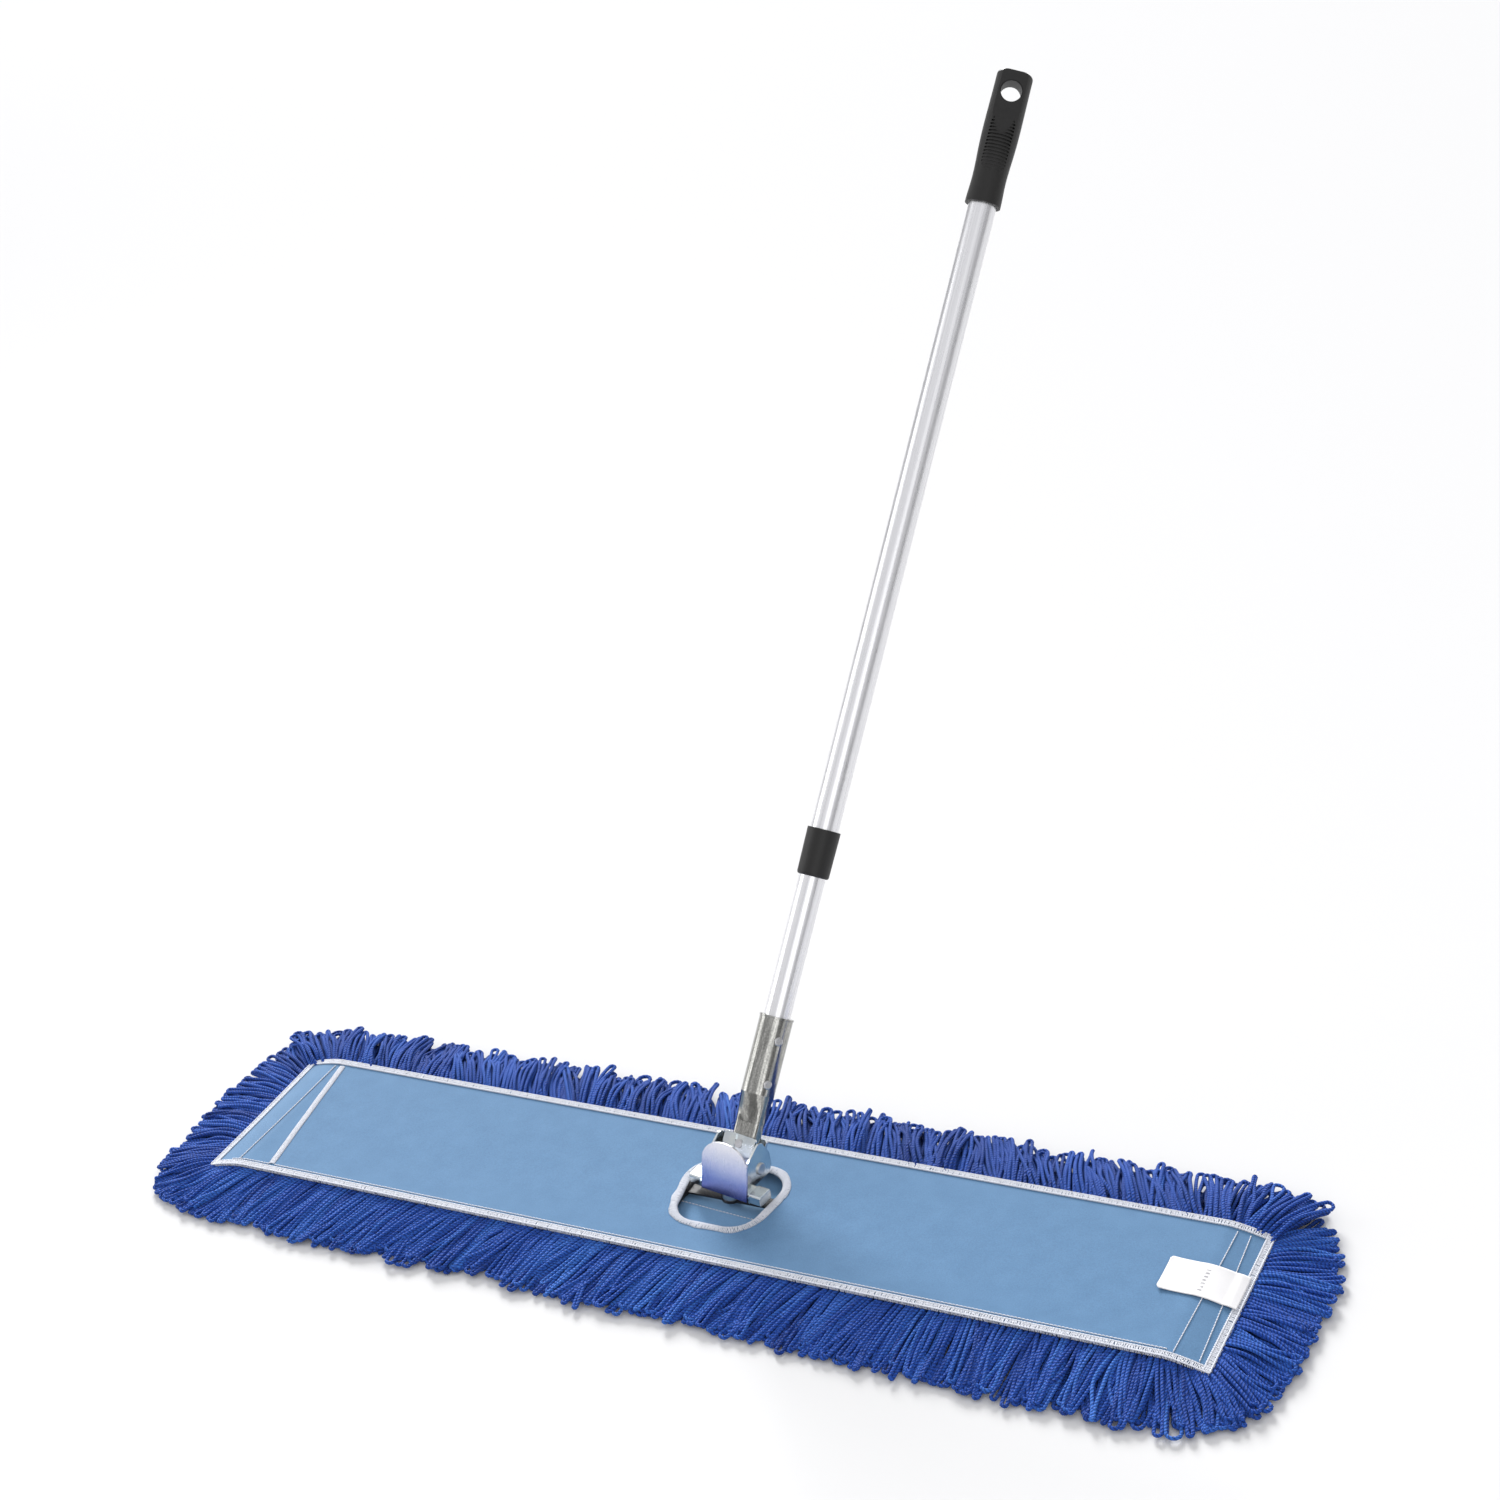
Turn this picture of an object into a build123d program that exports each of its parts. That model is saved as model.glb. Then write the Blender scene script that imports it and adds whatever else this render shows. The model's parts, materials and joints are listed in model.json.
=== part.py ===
"""Flat dust mop: a fringed yarn mop head, a wire frame inside it, and a clip-on telescoping handle.

Millimetres, +Z up. The origin is on the floor under the middle of the mop head.
+X runs along the head and +Y points away from the side that the handle clip opens towards.
The clip has its own frame: origin on the floor under the swivel rivet, turned by CLIP_YAW.
The handle has its own frame: origin on the tilt pin, +Z along the pole, -Y its front.
"""
from build123d import *
import os
from math import cos, radians, sin, tan

# ---- mop head ----
CLOTH_LENGTH = 980.0
CLOTH_WIDTH = 168.0
CLOTH_T = 1.2
HEAD_TOP = 22.5          # top of the upper cloth above the floor
YARN_HEIGHT = 10.5       # yarn pile between the floor and the lower cloth
FRINGE_REACH = 80.0      # yarn beyond the cloth's edge
FRINGE_TIP = 8.0         # height of the fringe at its outer edge
SEAM_WIDTH = 8.0         # overlock seam round the cloth
SEAM_T = 0.8
END_DROOP = 8.4          # how far the cloth sinks beyond the frame's ends
DROOP_START = 455.0
CLOTH_CORNER_R = 10.0
GAP = 0.1                # left between neighbouring layers
LABEL_LENGTH = 60.0
LABEL_NEAR_Y = -11.0
LABEL_FAR_Y = 29.0
LABEL_T = 0.5
SLOT_NEAR_X = -424.0     # slanted slot where the frame slips in, at y = -SLOT_REACH_Y
SLOT_FAR_X = -451.0      # and at y = SLOT_REACH_Y
SLOT_REACH_Y = 90.0
SLOT_SEAM_WIDTH = 7.0
CUT_HEIGHT = 60.0        # height of the prisms that cut the cloth's layers to shape

# ---- opening in the upper cloth ----
OPENING_X = 22.5
OPENING_FAR_Y = 42.0
OPENING_NEAR_Y = -40.0
OPENING_FAR_HALF = 50.0
OPENING_NEAR_HALF = 37.0
OPENING_RIM = 7.0
OPENING_CORNER_R = 26.0

# ---- wire frame ----
WIRE_D = 6.35
FRAME_LENGTH = 864.0
FRAME_WIDTH = 127.0
FRAME_BEND = 22.0        # centre-line radius of the wire's corners
WIRE_Z = 17.0
CROSS_SPACING = 90.0     # between the two cross wires
STRAP_WIDTH = 12.0
STRAP_T = 2.0

# ---- swivel bar and clip ----
CLIP_X = 23.5
CLIP_Y = 6.0
CLIP_YAW = -10.0         # degrees about Z, at rest
RIVET_R = 4.0
FIT = 0.05               # radial running clearance
BAR_LENGTH = 79.0
BAR_DEPTH = 16.0
BAR_BOTTOM = 23.8
BAR_HEIGHT = 7.0
BAR_TOP = BAR_BOTTOM + BAR_HEIGHT
BAR_WAIST = 26.0         # half length of the thinner middle, between the end blocks
BAR_END_HEIGHT = 10.0
EAR_IN = 20.5            # inner face of the clip's ears
EAR_T = 2.0
EAR_OUT = EAR_IN + EAR_T
PIN_Y = 18.5             # tilt pin in the clip's frame
PIN_Z = 42.0
TILT_PIN_R = 3.5
LEVER_PIN_Y = 1.0
LEVER_PIN_Z = 42.0
LEVER_PIN_R = 2.0
LEVER_LEAN = 15.4        # degrees that the release lever leans back
LEVER_HALF = 25.0
LEVER_SHOULDER = 31.5    # length of its straight sides, from the lip up
LEVER_T = 1.8
LEVER_LIP_Z = 25.8
LEVER_LIP_Y = -9.8
LEVER_TOP_Z = 72.5
LEVER_PRESS = 12.0       # degrees that the lever turns when it is pressed
EAR_GAP = 0.5            # between the ears' front edges and the lever

# ---- handle ----
TILT = 38.5              # degrees that the pole leans back, at rest
SWING_RIVET_U = 16.0     # side-swing rivet, along the pole from the tilt pin
KNUCKLE_HALF = 17.0
KNUCKLE_DEPTH = 10.0     # half depth, front to back
KNUCKLE_R = 8.5          # rounded end that turns on the tilt pin
GROOVE_HALF = 4.0        # groove down the knuckle's front
GROOVE_DEPTH = 1.2
TANG_HALF = 13.0
TANG_T = 13.6
FERRULE_R = 15.0
FERRULE_WALL = 1.5
FERRULE_TOP = 131.5
INNER_R = 11.95
INNER_BORE_R = 11.0
INNER_START = 66.0
SCREW_U = (72.0, 111.0)
INNER_END = 880.0
OUTER_R = 12.7
OUTER_BORE_R = 12.0
OUTER_START = 276.0
OUTER_END = 945.0
COLLAR_START = 258.5
COLLAR_END = 301.0
GRIP_START = 875.5
GRIP_END = 998.5
HANG_U = 979.0
HANG_R = 9.5
RIB_COUNT = 17
RIB_PITCH = 3.1
RIB_FIELD_WIDTH = 22.0   # oval fields of finger grooves, front and back
RIB_FIELD_START = 904.0
GRIP_TURN = 34.0         # degrees that the grip is turned about the pole
GRIP_FLAT = 11.5         # half depth of the flattened end round the hanging hole
SCREW_R = 2.2
SCREW_HEAD_R = 4.0
SWING_RIVET_R = 3.0

CLIP = Pos(CLIP_X, CLIP_Y, 0) * Rot(0, 0, CLIP_YAW)
HANDLE = CLIP * Pos(0, PIN_Y, PIN_Z) * Rot(-TILT, 0, 0)
SCREW_TURN = Rot(0, 0, -30)   # the screws sit on the ferrule's right side, turned towards its front
ALONG_X = Rot(0, 90, 0)
ALONG_Y = Rot(-90, 0, 0)


def block(x0, x1, y0, y1, z0, z1):
    """Box between two corners."""
    return Pos((x0 + x1) / 2, (y0 + y1) / 2, (z0 + z1) / 2) * Box(x1 - x0, y1 - y0, z1 - z0)


def tube(r_out, r_in, z0, z1):
    """Round tube along Z."""
    middle = Pos(0, 0, (z0 + z1) / 2)
    return middle * Cylinder(r_out, z1 - z0) - middle * Cylinder(r_in, z1 - z0 + 2)


def rod_x(radius, x0, x1, y, z):
    """Solid rod along X."""
    return Pos((x0 + x1) / 2, y, z) * ALONG_X * Cylinder(radius, x1 - x0)


def rod_y(radius, y0, y1, x, z):
    """Solid rod along Y."""
    return Pos(x, (y0 + y1) / 2, z) * ALONG_Y * Cylinder(radius, y1 - y0)


def plate_yz(points, x0, x1):
    """Flat plate with a straight-sided outline given as (y, z), between two X planes."""
    face = make_face(Polyline([(x0, y, z) for y, z in points], close=True))
    return extrude(face, amount=x1 - x0, dir=(1, 0, 0))


# ---- mop head: cloth ----

def draped_layer(lift, thickness):
    """A layer that follows the upper cloth, its underside lift above the cloth's underside."""
    end_x = CLOTH_LENGTH / 2 + 1
    low = HEAD_TOP - CLOTH_T + lift
    sag = [(-end_x, low - END_DROOP), (-end_x + 14, low - 0.42 * END_DROOP), (-DROOP_START, low)]
    bottom = sag + [(-x, z) for x, z in reversed(sag)]
    top = [(x, z + thickness) for x, z in reversed(bottom)]
    face = make_face(Polyline([(x, 0, z) for x, z in bottom + top], close=True))
    return extrude(face, amount=CLOTH_WIDTH / 2 + 1, dir=(0, 1, 0), both=True)


def rounded_prism(x0, x1, y0, y1, radius):
    """Tall prism with rounded corners, used to cut layers to their outline."""
    outline = Pos((x0 + x1) / 2, (y0 + y1) / 2) * RectangleRounded(x1 - x0, y1 - y0, radius)
    return extrude(outline, amount=CUT_HEIGHT)


def opening_prism(grow):
    """Prism over the opening, its outline grown outwards by grow."""
    corners = [
        (OPENING_X - OPENING_FAR_HALF, OPENING_FAR_Y),
        (OPENING_X + OPENING_FAR_HALF, OPENING_FAR_Y),
        (OPENING_X + OPENING_NEAR_HALF, OPENING_NEAR_Y),
        (OPENING_X - OPENING_NEAR_HALF, OPENING_NEAR_Y),
    ]
    outline = make_face(Polyline(corners, close=True))
    outline = fillet(outline.vertices(), OPENING_CORNER_R)
    if grow:
        outline = offset(outline, amount=grow)
    return extrude(outline, amount=CUT_HEIGHT)


def slanted_prism(left_near, left_far, right_near, right_far):
    """Prism across the cloth between two slanted sides, each given by its X at the near and far edges."""
    reach = SLOT_REACH_Y
    points = [(left_near, -reach), (left_far, reach), (right_far, reach), (right_near, -reach)]
    return extrude(make_face(Polyline(points, close=True)), amount=CUT_HEIGHT)


def upper_cloth_blank():
    """The whole upper cloth, before the slot and the opening are cut."""
    half_x, half_y = CLOTH_LENGTH / 2, CLOTH_WIDTH / 2
    return draped_layer(0, CLOTH_T) & rounded_prism(-half_x, half_x, -half_y, half_y, CLOTH_CORNER_R)


def make_backing_upper():
    right_of_slot = slanted_prism(SLOT_NEAR_X, SLOT_FAR_X, CLOTH_LENGTH, CLOTH_LENGTH)
    return (upper_cloth_blank() & right_of_slot) - opening_prism(0)


def make_pocket_panel():
    end_x = -CLOTH_LENGTH
    return upper_cloth_blank() & slanted_prism(end_x, end_x, SLOT_NEAR_X - GAP, SLOT_FAR_X - GAP)


def make_backing_lower():
    half_x = CLOTH_LENGTH / 2 - SEAM_WIDTH - 0.5
    half_y = CLOTH_WIDTH / 2 - SEAM_WIDTH - 0.5
    return block(-half_x, half_x, -half_y, half_y, YARN_HEIGHT, YARN_HEIGHT + CLOTH_T)


def make_edge_seam():
    half_x, half_y = CLOTH_LENGTH / 2, CLOTH_WIDTH / 2
    outer = rounded_prism(-half_x - 1, half_x + 1, -half_y - 1, half_y + 1, CLOTH_CORNER_R + 1)
    half_x -= SEAM_WIDTH
    half_y -= SEAM_WIDTH
    inner = rounded_prism(-half_x, half_x, -half_y, half_y, CLOTH_CORNER_R / 2)
    return draped_layer(CLOTH_T, SEAM_T) & (outer - inner)


def make_opening_seam():
    ring = opening_prism(OPENING_RIM) - opening_prism(0)
    return draped_layer(CLOTH_T, SEAM_T) & ring


def make_slot_seam():
    near_x, far_x = SLOT_NEAR_X + SLOT_SEAM_WIDTH, SLOT_FAR_X + SLOT_SEAM_WIDTH
    half_y = CLOTH_WIDTH / 2 - SEAM_WIDTH - GAP
    inside = block(-CLOTH_LENGTH, CLOTH_LENGTH, -half_y, half_y, 0, CUT_HEIGHT)
    return draped_layer(CLOTH_T, SEAM_T) & slanted_prism(SLOT_NEAR_X, SLOT_FAR_X, near_x, far_x) & inside


def make_label():
    edge = CLOTH_LENGTH / 2 - SEAM_WIDTH - 2 * GAP
    outline = rounded_prism(edge - LABEL_LENGTH, edge, LABEL_NEAR_Y, LABEL_FAR_Y, 1.5)
    return draped_layer(CLOTH_T, LABEL_T) & outline


# ---- mop head: yarn ----

def fringe_outline():
    """Rounded outline of the whole yarn skirt."""
    half_x = CLOTH_LENGTH / 2 + FRINGE_REACH + 5
    half_y = CLOTH_WIDTH / 2 + FRINGE_REACH - 2
    return rounded_prism(-half_x, half_x, -half_y, half_y, 60)


def skirt_profile(seam, outer, top, tip):
    """Section of the skirt, from under the cloth's edge down to its thin outer edge."""
    inner = seam - SEAM_WIDTH
    return [(inner, 0), (outer, 0), (outer, tip), (seam, top), (inner, top)]


def make_long_fringe(side):
    """Yarn beyond a long edge: side is -1 near, 1 far."""
    seam = CLOTH_WIDTH / 2
    under = HEAD_TOP - CLOTH_T - GAP
    half_x = DROOP_START - 1
    profile = skirt_profile(seam, seam + FRINGE_REACH, under, FRINGE_TIP)
    middle = plate_yz([(side * y, z) for y, z in profile], -half_x, half_x)
    reach = CLOTH_LENGTH / 2 + FRINGE_REACH + 10
    profile = skirt_profile(seam, seam + FRINGE_REACH, under - END_DROOP, FRINGE_TIP - 1)
    ends = plate_yz([(side * y, z) for y, z in profile], -reach, reach)
    return (middle + ends) & fringe_outline()


def make_end_fringe(side):
    """Yarn beyond a short edge: side is -1 left, 1 right."""
    seam = CLOTH_LENGTH / 2
    under = HEAD_TOP - CLOTH_T - GAP - END_DROOP
    profile = skirt_profile(seam, seam + FRINGE_REACH + 5, under, FRINGE_TIP - 1)
    face = make_face(Polyline([(side * x, 0, z) for x, z in profile], close=True))
    half_y = CLOTH_WIDTH / 2 - SEAM_WIDTH - GAP
    return extrude(face, amount=half_y, dir=(0, 1, 0), both=True)


def make_yarn_base():
    half_x = CLOTH_LENGTH / 2 - SEAM_WIDTH - GAP
    half_y = CLOTH_WIDTH / 2 - SEAM_WIDTH - GAP
    return block(-half_x, half_x, -half_y, half_y, 0, YARN_HEIGHT - GAP)


# ---- wire frame ----

def make_frame_half(side):
    """One U of the wire frame: side is -1 left, 1 right."""
    centre_half = FRAME_WIDTH / 2 - WIRE_D / 2
    end_x = CLIP_X + side * (FRAME_LENGTH / 2 - WIRE_D / 2)
    joint_x = CLIP_X + side * 0.1
    points = [
        (joint_x, CLIP_Y - centre_half, WIRE_Z),
        (end_x, CLIP_Y - centre_half, WIRE_Z),
        (end_x, CLIP_Y + centre_half, WIRE_Z),
        (joint_x, CLIP_Y + centre_half, WIRE_Z),
    ]
    path = FilletPolyline(points, radius=FRAME_BEND)
    section = Plane(origin=path @ 0, z_dir=path % 0) * Circle(WIRE_D / 2)
    return sweep(section, path=path)


def make_cross_wire(side):
    reach = FRAME_WIDTH / 2 - WIRE_D - 0.05
    x = CLIP_X + side * CROSS_SPACING / 2
    return rod_y(WIRE_D / 2, CLIP_Y - reach, CLIP_Y + reach, x, WIRE_Z)


def make_centre_strap():
    """Strap with its ends rolled round the cross wires, and the swivel's seat in the middle."""
    half = CROSS_SPACING / 2
    strap = Pos(0, 0, WIRE_Z) * Box(2 * half, STRAP_WIDTH, STRAP_T)
    strap += Pos(0, 0, WIRE_Z) * Cylinder(9.5, STRAP_T)
    for x in (-half, half):
        strap += rod_y(WIRE_D / 2 + 1, -STRAP_WIDTH / 2, STRAP_WIDTH / 2, x, WIRE_Z)
    for x in (-half, half):
        strap -= rod_y(WIRE_D / 2, -STRAP_WIDTH, STRAP_WIDTH, x, WIRE_Z)
    strap -= Pos(0, 0, WIRE_Z) * Cylinder(RIVET_R, STRAP_T + 2)
    return Pos(CLIP_X, CLIP_Y, 0) * strap


def make_swivel_washer():
    washer = tube(8.5, RIVET_R, WIRE_Z + STRAP_T / 2, BAR_BOTTOM - 0.1)
    return Pos(CLIP_X, CLIP_Y, 0) * washer


def make_swivel_rivet():
    bottom = WIRE_Z - STRAP_T / 2
    rivet = Pos(0, 0, bottom - 1) * Cylinder(7, 2)
    rivet += Pos(0, 0, (bottom + BAR_TOP) / 2 - 0.5) * Cylinder(RIVET_R, BAR_TOP - bottom - 1)
    rivet += Pos(0, 0, BAR_TOP - 1.25) * Cylinder(6.5, 1.7)
    return Pos(CLIP_X, CLIP_Y, 0) * rivet


# ---- swivel bar and clip (clip frame) ----

def make_swivel_bar():
    """Bar on the swivel rivet: thin in the middle, where the clip grips it, with a block at each end."""
    half, deep = BAR_LENGTH / 2, BAR_DEPTH / 2
    bar = block(-half, half, -deep, deep, BAR_BOTTOM, BAR_TOP)
    bar -= block(-BAR_WAIST, BAR_WAIST, -deep - 1, -deep + 2, BAR_BOTTOM - 1, BAR_TOP + 1)
    bar -= block(-BAR_WAIST, BAR_WAIST, -deep - 1, -deep + 4.6, BAR_BOTTOM - 1, BAR_TOP - 2.4)
    for side in (-1, 1):
        x0, x1 = sorted((side * (BAR_WAIST + 1), side * half))
        end = block(x0, x1, -deep, deep, BAR_BOTTOM, BAR_BOTTOM + BAR_END_HEIGHT)
        end = fillet(end.edges().filter_by(Axis.X), 2)
        end = chamfer(end.faces().filter_by(Axis.X).edges(), 0.6)
        bar = bar - block(x0, x1, -deep - 1, deep + 1, BAR_BOTTOM - 1, BAR_TOP + 1) + end
    middle = (BAR_BOTTOM + BAR_TOP) / 2
    bar -= Pos(0, 0, middle) * Cylinder(RIVET_R + FIT, BAR_HEIGHT + 2)
    bar -= Pos(0, 0, BAR_TOP) * Cylinder(7, 4.4)
    return CLIP * bar


def lever_y(z):
    """Front face of the release lever at height z."""
    return LEVER_LIP_Y + (z - LEVER_LIP_Z) * tan(radians(LEVER_LEAN))


def lever_back_y(z, press):
    """Back face of the release lever at height z, when it is pressed by that many degrees."""
    rest_back = lever_y(LEVER_PIN_Z) + LEVER_T / cos(radians(LEVER_LEAN))
    standoff = (LEVER_PIN_Y - rest_back) * cos(radians(LEVER_LEAN))
    lean = radians(LEVER_LEAN + press)
    return LEVER_PIN_Y - standoff / cos(lean) + (z - LEVER_PIN_Z) * tan(lean)


def ear_outline():
    """Side outline of the clip's ears in the plane x = 0. Its front edge clears the pressed lever."""
    bend_z = LEVER_PIN_Z + 1.6
    top_z = LEVER_PIN_Z + 15
    front_low = (0, lever_back_y(BAR_TOP, 0) + EAR_GAP, BAR_TOP)
    front_high = (0, lever_back_y(bend_z, 0) + EAR_GAP, bend_z)
    top_front = (0, lever_back_y(top_z, LEVER_PRESS) + EAR_GAP, top_z)
    crest_front = (0, PIN_Y, PIN_Z + 23)
    crest_back = (0, PIN_Y + 8, PIN_Z + 22)
    back_high = (0, PIN_Y + 15, PIN_Z + 8)
    back_low = (0, PIN_Y + 15, PIN_Z - 5)
    foot = (0, PIN_Y + 10.5, BAR_TOP)
    edges = [
        Line(front_low, front_high),
        Line(front_high, top_front),
        Line(top_front, crest_front),
        ThreePointArc(crest_front, (0, PIN_Y + 4.2, PIN_Z + 24), crest_back),
        Line(crest_back, back_high),
        Line(back_high, back_low),
        Line(back_low, foot),
        Line(foot, front_low),
    ]
    return make_face(Wire(edges))


def make_clip_bracket():
    ear = ear_outline()
    bracket = Part()
    for x in (-EAR_OUT, EAR_IN):
        bracket += extrude(Pos(x, 0, 0) * ear, amount=EAR_T, dir=(1, 0, 0))
    bracket += block(-EAR_OUT, EAR_OUT, -3.5, 29, BAR_TOP, BAR_TOP + EAR_T)
    deep = BAR_DEPTH / 2
    for side in (-1, 1):
        x0, x1 = sorted((side * 10, side * 20))
        bracket += block(x0, x1, deep, deep + EAR_T, BAR_BOTTOM - 1.6, BAR_TOP + EAR_T)
        bracket += block(x0, x1, deep - 2.6, deep + EAR_T, BAR_BOTTOM - 1.6, BAR_BOTTOM - 0.1)
    bracket -= rod_x(TILT_PIN_R, -30, 30, PIN_Y, PIN_Z)
    bracket -= rod_x(LEVER_PIN_R, -30, 30, LEVER_PIN_Y, LEVER_PIN_Z)
    return CLIP * bracket


def headed_pin(radius, head_r, head_t, y, z):
    """Rivet across both ears, with a low head outside each."""
    pin = rod_x(radius, -EAR_OUT, EAR_OUT, y, z)
    for side in (-1, 1):
        x0, x1 = sorted((side * EAR_OUT, side * (EAR_OUT + head_t)))
        head = rod_x(head_r, x0, x1, y, z)
        rim = head.faces().sort_by(Axis.X)[0 if side < 0 else -1].edges()
        pin += fillet(rim, head_t * 0.6)
    return CLIP * pin


def make_clip_lever():
    """Shield-shaped release lever with a hooked lip and two lugs for its pin."""
    lean = radians(LEVER_LEAN)
    length = (LEVER_TOP_Z - LEVER_LIP_Z) / cos(lean)
    crown = length - 0.8
    right = [
        Line((LEVER_HALF, 0), (LEVER_HALF, LEVER_SHOULDER)),
        ThreePointArc((LEVER_HALF, LEVER_SHOULDER), (18.5, 42), (8, crown)),
    ]
    left = [
        ThreePointArc((-8, crown), (-18.5, 42), (-LEVER_HALF, LEVER_SHOULDER)),
        Line((-LEVER_HALF, LEVER_SHOULDER), (-LEVER_HALF, 0)),
    ]
    top = ThreePointArc((8, crown), (0, length), (-8, crown))
    outline = [Line((-LEVER_HALF, 0), (LEVER_HALF, 0)), *right, top, *left]
    plane = Plane(origin=(0, LEVER_LIP_Y, LEVER_LIP_Z), x_dir=(1, 0, 0), z_dir=(0, -cos(lean), sin(lean)))
    lever = extrude(plane * make_face(Wire(outline)), amount=-LEVER_T)
    lever += block(-24, 24, LEVER_LIP_Y + 0.4, -BAR_DEPTH / 2 + 3.8, LEVER_LIP_Z, LEVER_LIP_Z + 1.2)
    lug = [
        (lever_y(35) + 1, 35),
        (lever_y(50) + 1, 50),
        (LEVER_PIN_Y + 2.5, 46),
        (LEVER_PIN_Y + 4.5, 42),
        (LEVER_PIN_Y + 2.5, 38),
    ]
    for x0 in (-EAR_IN + 0.4, EAR_IN - 2.0):
        lever += plate_yz(lug, x0, x0 + 1.6)
    lever -= rod_x(LEVER_PIN_R + FIT, -30, 30, LEVER_PIN_Y, LEVER_PIN_Z)
    return CLIP * lever


def make_lever_spring():
    """Torsion spring round the lever pin: one leg on the lever, the other towards the clip's floor."""
    wire_r = 0.6
    coil_r = LEVER_PIN_R + 0.5 + wire_r
    turns, pitch = 6, 1.5
    height = turns * pitch
    path = Helix(pitch, height, coil_r)
    section = Plane(origin=path @ 0, z_dir=path % 0) * Circle(wire_r)
    coil = sweep(section, path=path)
    coil = Pos(-height / 2, LEVER_PIN_Y, LEVER_PIN_Z) * ALONG_X * coil
    legs = []
    for x in (-height / 2, height / 2):
        foot = Pos(x, LEVER_PIN_Y + 1.5, LEVER_PIN_Z - coil_r) * ALONG_Y * Cylinder(wire_r, 6)
        legs.append(foot)
    return CLIP * (coil + legs)


# ---- knuckle and ferrule (handle frame) ----

def make_knuckle():
    """Fork on the tilt pin that holds the ferrule's tang between two cheeks."""
    top, shoulder = 24.0, 7.0
    side = [(-KNUCKLE_R, 0), (-KNUCKLE_DEPTH, shoulder), (-KNUCKLE_DEPTH, top)]
    side += [(-y, z) for y, z in reversed(side)]
    body = plate_yz(side, -KNUCKLE_HALF, KNUCKLE_HALF)
    body = fillet(body.edges().filter_by(Axis.Y).sort_by(Axis.Z)[-2:], 3)
    body += rod_x(KNUCKLE_R, -KNUCKLE_HALF, KNUCKLE_HALF, 0, 0)
    body -= block(-20, 20, -TANG_T / 2 - 0.3, TANG_T / 2 + 0.3, SWING_RIVET_U - 10, top + 1)
    body -= rod_x(TILT_PIN_R + FIT, -20, 20, 0, 0)
    front = -KNUCKLE_DEPTH
    body -= block(-GROOVE_HALF, GROOVE_HALF, front - 1, front + GROOVE_DEPTH, shoulder, top + 1)
    body -= rod_y(SWING_RIVET_R, -20, 20, 0, SWING_RIVET_U)
    return HANDLE * body


def make_swing_rivet():
    """Rivet with a small head sunk in the front groove and a full head behind."""
    front, back = -KNUCKLE_DEPTH + GROOVE_DEPTH, KNUCKLE_DEPTH
    rivet = rod_y(SWING_RIVET_R, front, back, 0, SWING_RIVET_U)
    rivet += rod_y(GROOVE_HALF - GAP, front - GROOVE_DEPTH, front, 0, SWING_RIVET_U)
    rivet += rod_y(5.0, back, back + 1.2, 0, SWING_RIVET_U)
    return HANDLE * rivet


def tang_section(z, half, thick, radius):
    return Pos(0, 0, z) * RectangleRounded(2 * half, thick, radius)


def make_ferrule():
    """Round socket whose lower end is pressed flat into a tang."""
    flat_top, round_start = 36.0, 62.0
    shell = tube(FERRULE_R, FERRULE_R - FERRULE_WALL, round_start, FERRULE_TOP)
    outer = loft([tang_section(flat_top, TANG_HALF, TANG_T, 5), Pos(0, 0, round_start) * Circle(FERRULE_R)])
    hollow = loft([
        tang_section(flat_top, TANG_HALF - 3, TANG_T - 6, 2.5),
        Pos(0, 0, round_start) * Circle(FERRULE_R - FERRULE_WALL),
    ])
    tang = extrude(tang_section(SWING_RIVET_U, TANG_HALF, TANG_T, 5), amount=flat_top - SWING_RIVET_U)
    nose = rod_y(9.5, -TANG_T / 2, TANG_T / 2, 0, SWING_RIVET_U)
    cheek = rod_y(TANG_HALF, -TANG_T / 2, TANG_T / 2, 0, SWING_RIVET_U + 5)
    low = block(-20, 20, -20, 20, SWING_RIVET_U - 3, SWING_RIVET_U + 1)
    ferrule = shell + (outer - hollow) + tang + nose + (cheek & low)
    ferrule += tube(FERRULE_R + 0.5, INNER_R + 0.1, FERRULE_TOP - 1.6, FERRULE_TOP)
    ferrule -= rod_y(SWING_RIVET_R + FIT, -20, 20, 0, SWING_RIVET_U)
    for u in SCREW_U:
        ferrule -= Pos(0, 0, u) * SCREW_TURN * rod_x(SCREW_R, 0, 20, 0, 0)
        ferrule -= Pos(0, 0, u) * SCREW_TURN * rod_x(SCREW_HEAD_R, FERRULE_R - 0.4, 20, 0, 0)
    return HANDLE * ferrule


def make_ferrule_bush():
    bush = tube(FERRULE_R - FERRULE_WALL, INNER_R, INNER_START, FERRULE_TOP - 1.7)
    for u in SCREW_U:
        bush -= Pos(0, 0, u) * SCREW_TURN * rod_x(SCREW_R, 0, 20, 0, 0)
    return HANDLE * bush


def make_ferrule_screws():
    """Two self-tapping screws on the ferrule's side, as separate solids."""
    screws = []
    for u in SCREW_U:
        shank = rod_x(SCREW_R, 10.2, FERRULE_R, 0, 0)
        head = rod_x(SCREW_HEAD_R, FERRULE_R - 0.4, FERRULE_R + 1.8, 0, 0)
        head = fillet(head.faces().sort_by(Axis.X)[-1].edges(), 1.2)
        screw = shank + head
        screw -= Pos(FERRULE_R + 1.8, 0, 0) * Box(1.6, 4.4, 0.9)
        screw -= Pos(FERRULE_R + 1.8, 0, 0) * Box(1.6, 0.9, 4.4)
        screws.append(HANDLE * Pos(0, 0, u) * SCREW_TURN * screw)
    return Compound(children=screws)


def make_lower_tube():
    pipe = tube(INNER_R, INNER_BORE_R, INNER_START, INNER_END)
    for u in SCREW_U:
        pipe -= Pos(0, 0, u) * SCREW_TURN * rod_x(SCREW_R, 0, 20, 0, 0)
    return HANDLE * pipe


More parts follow.
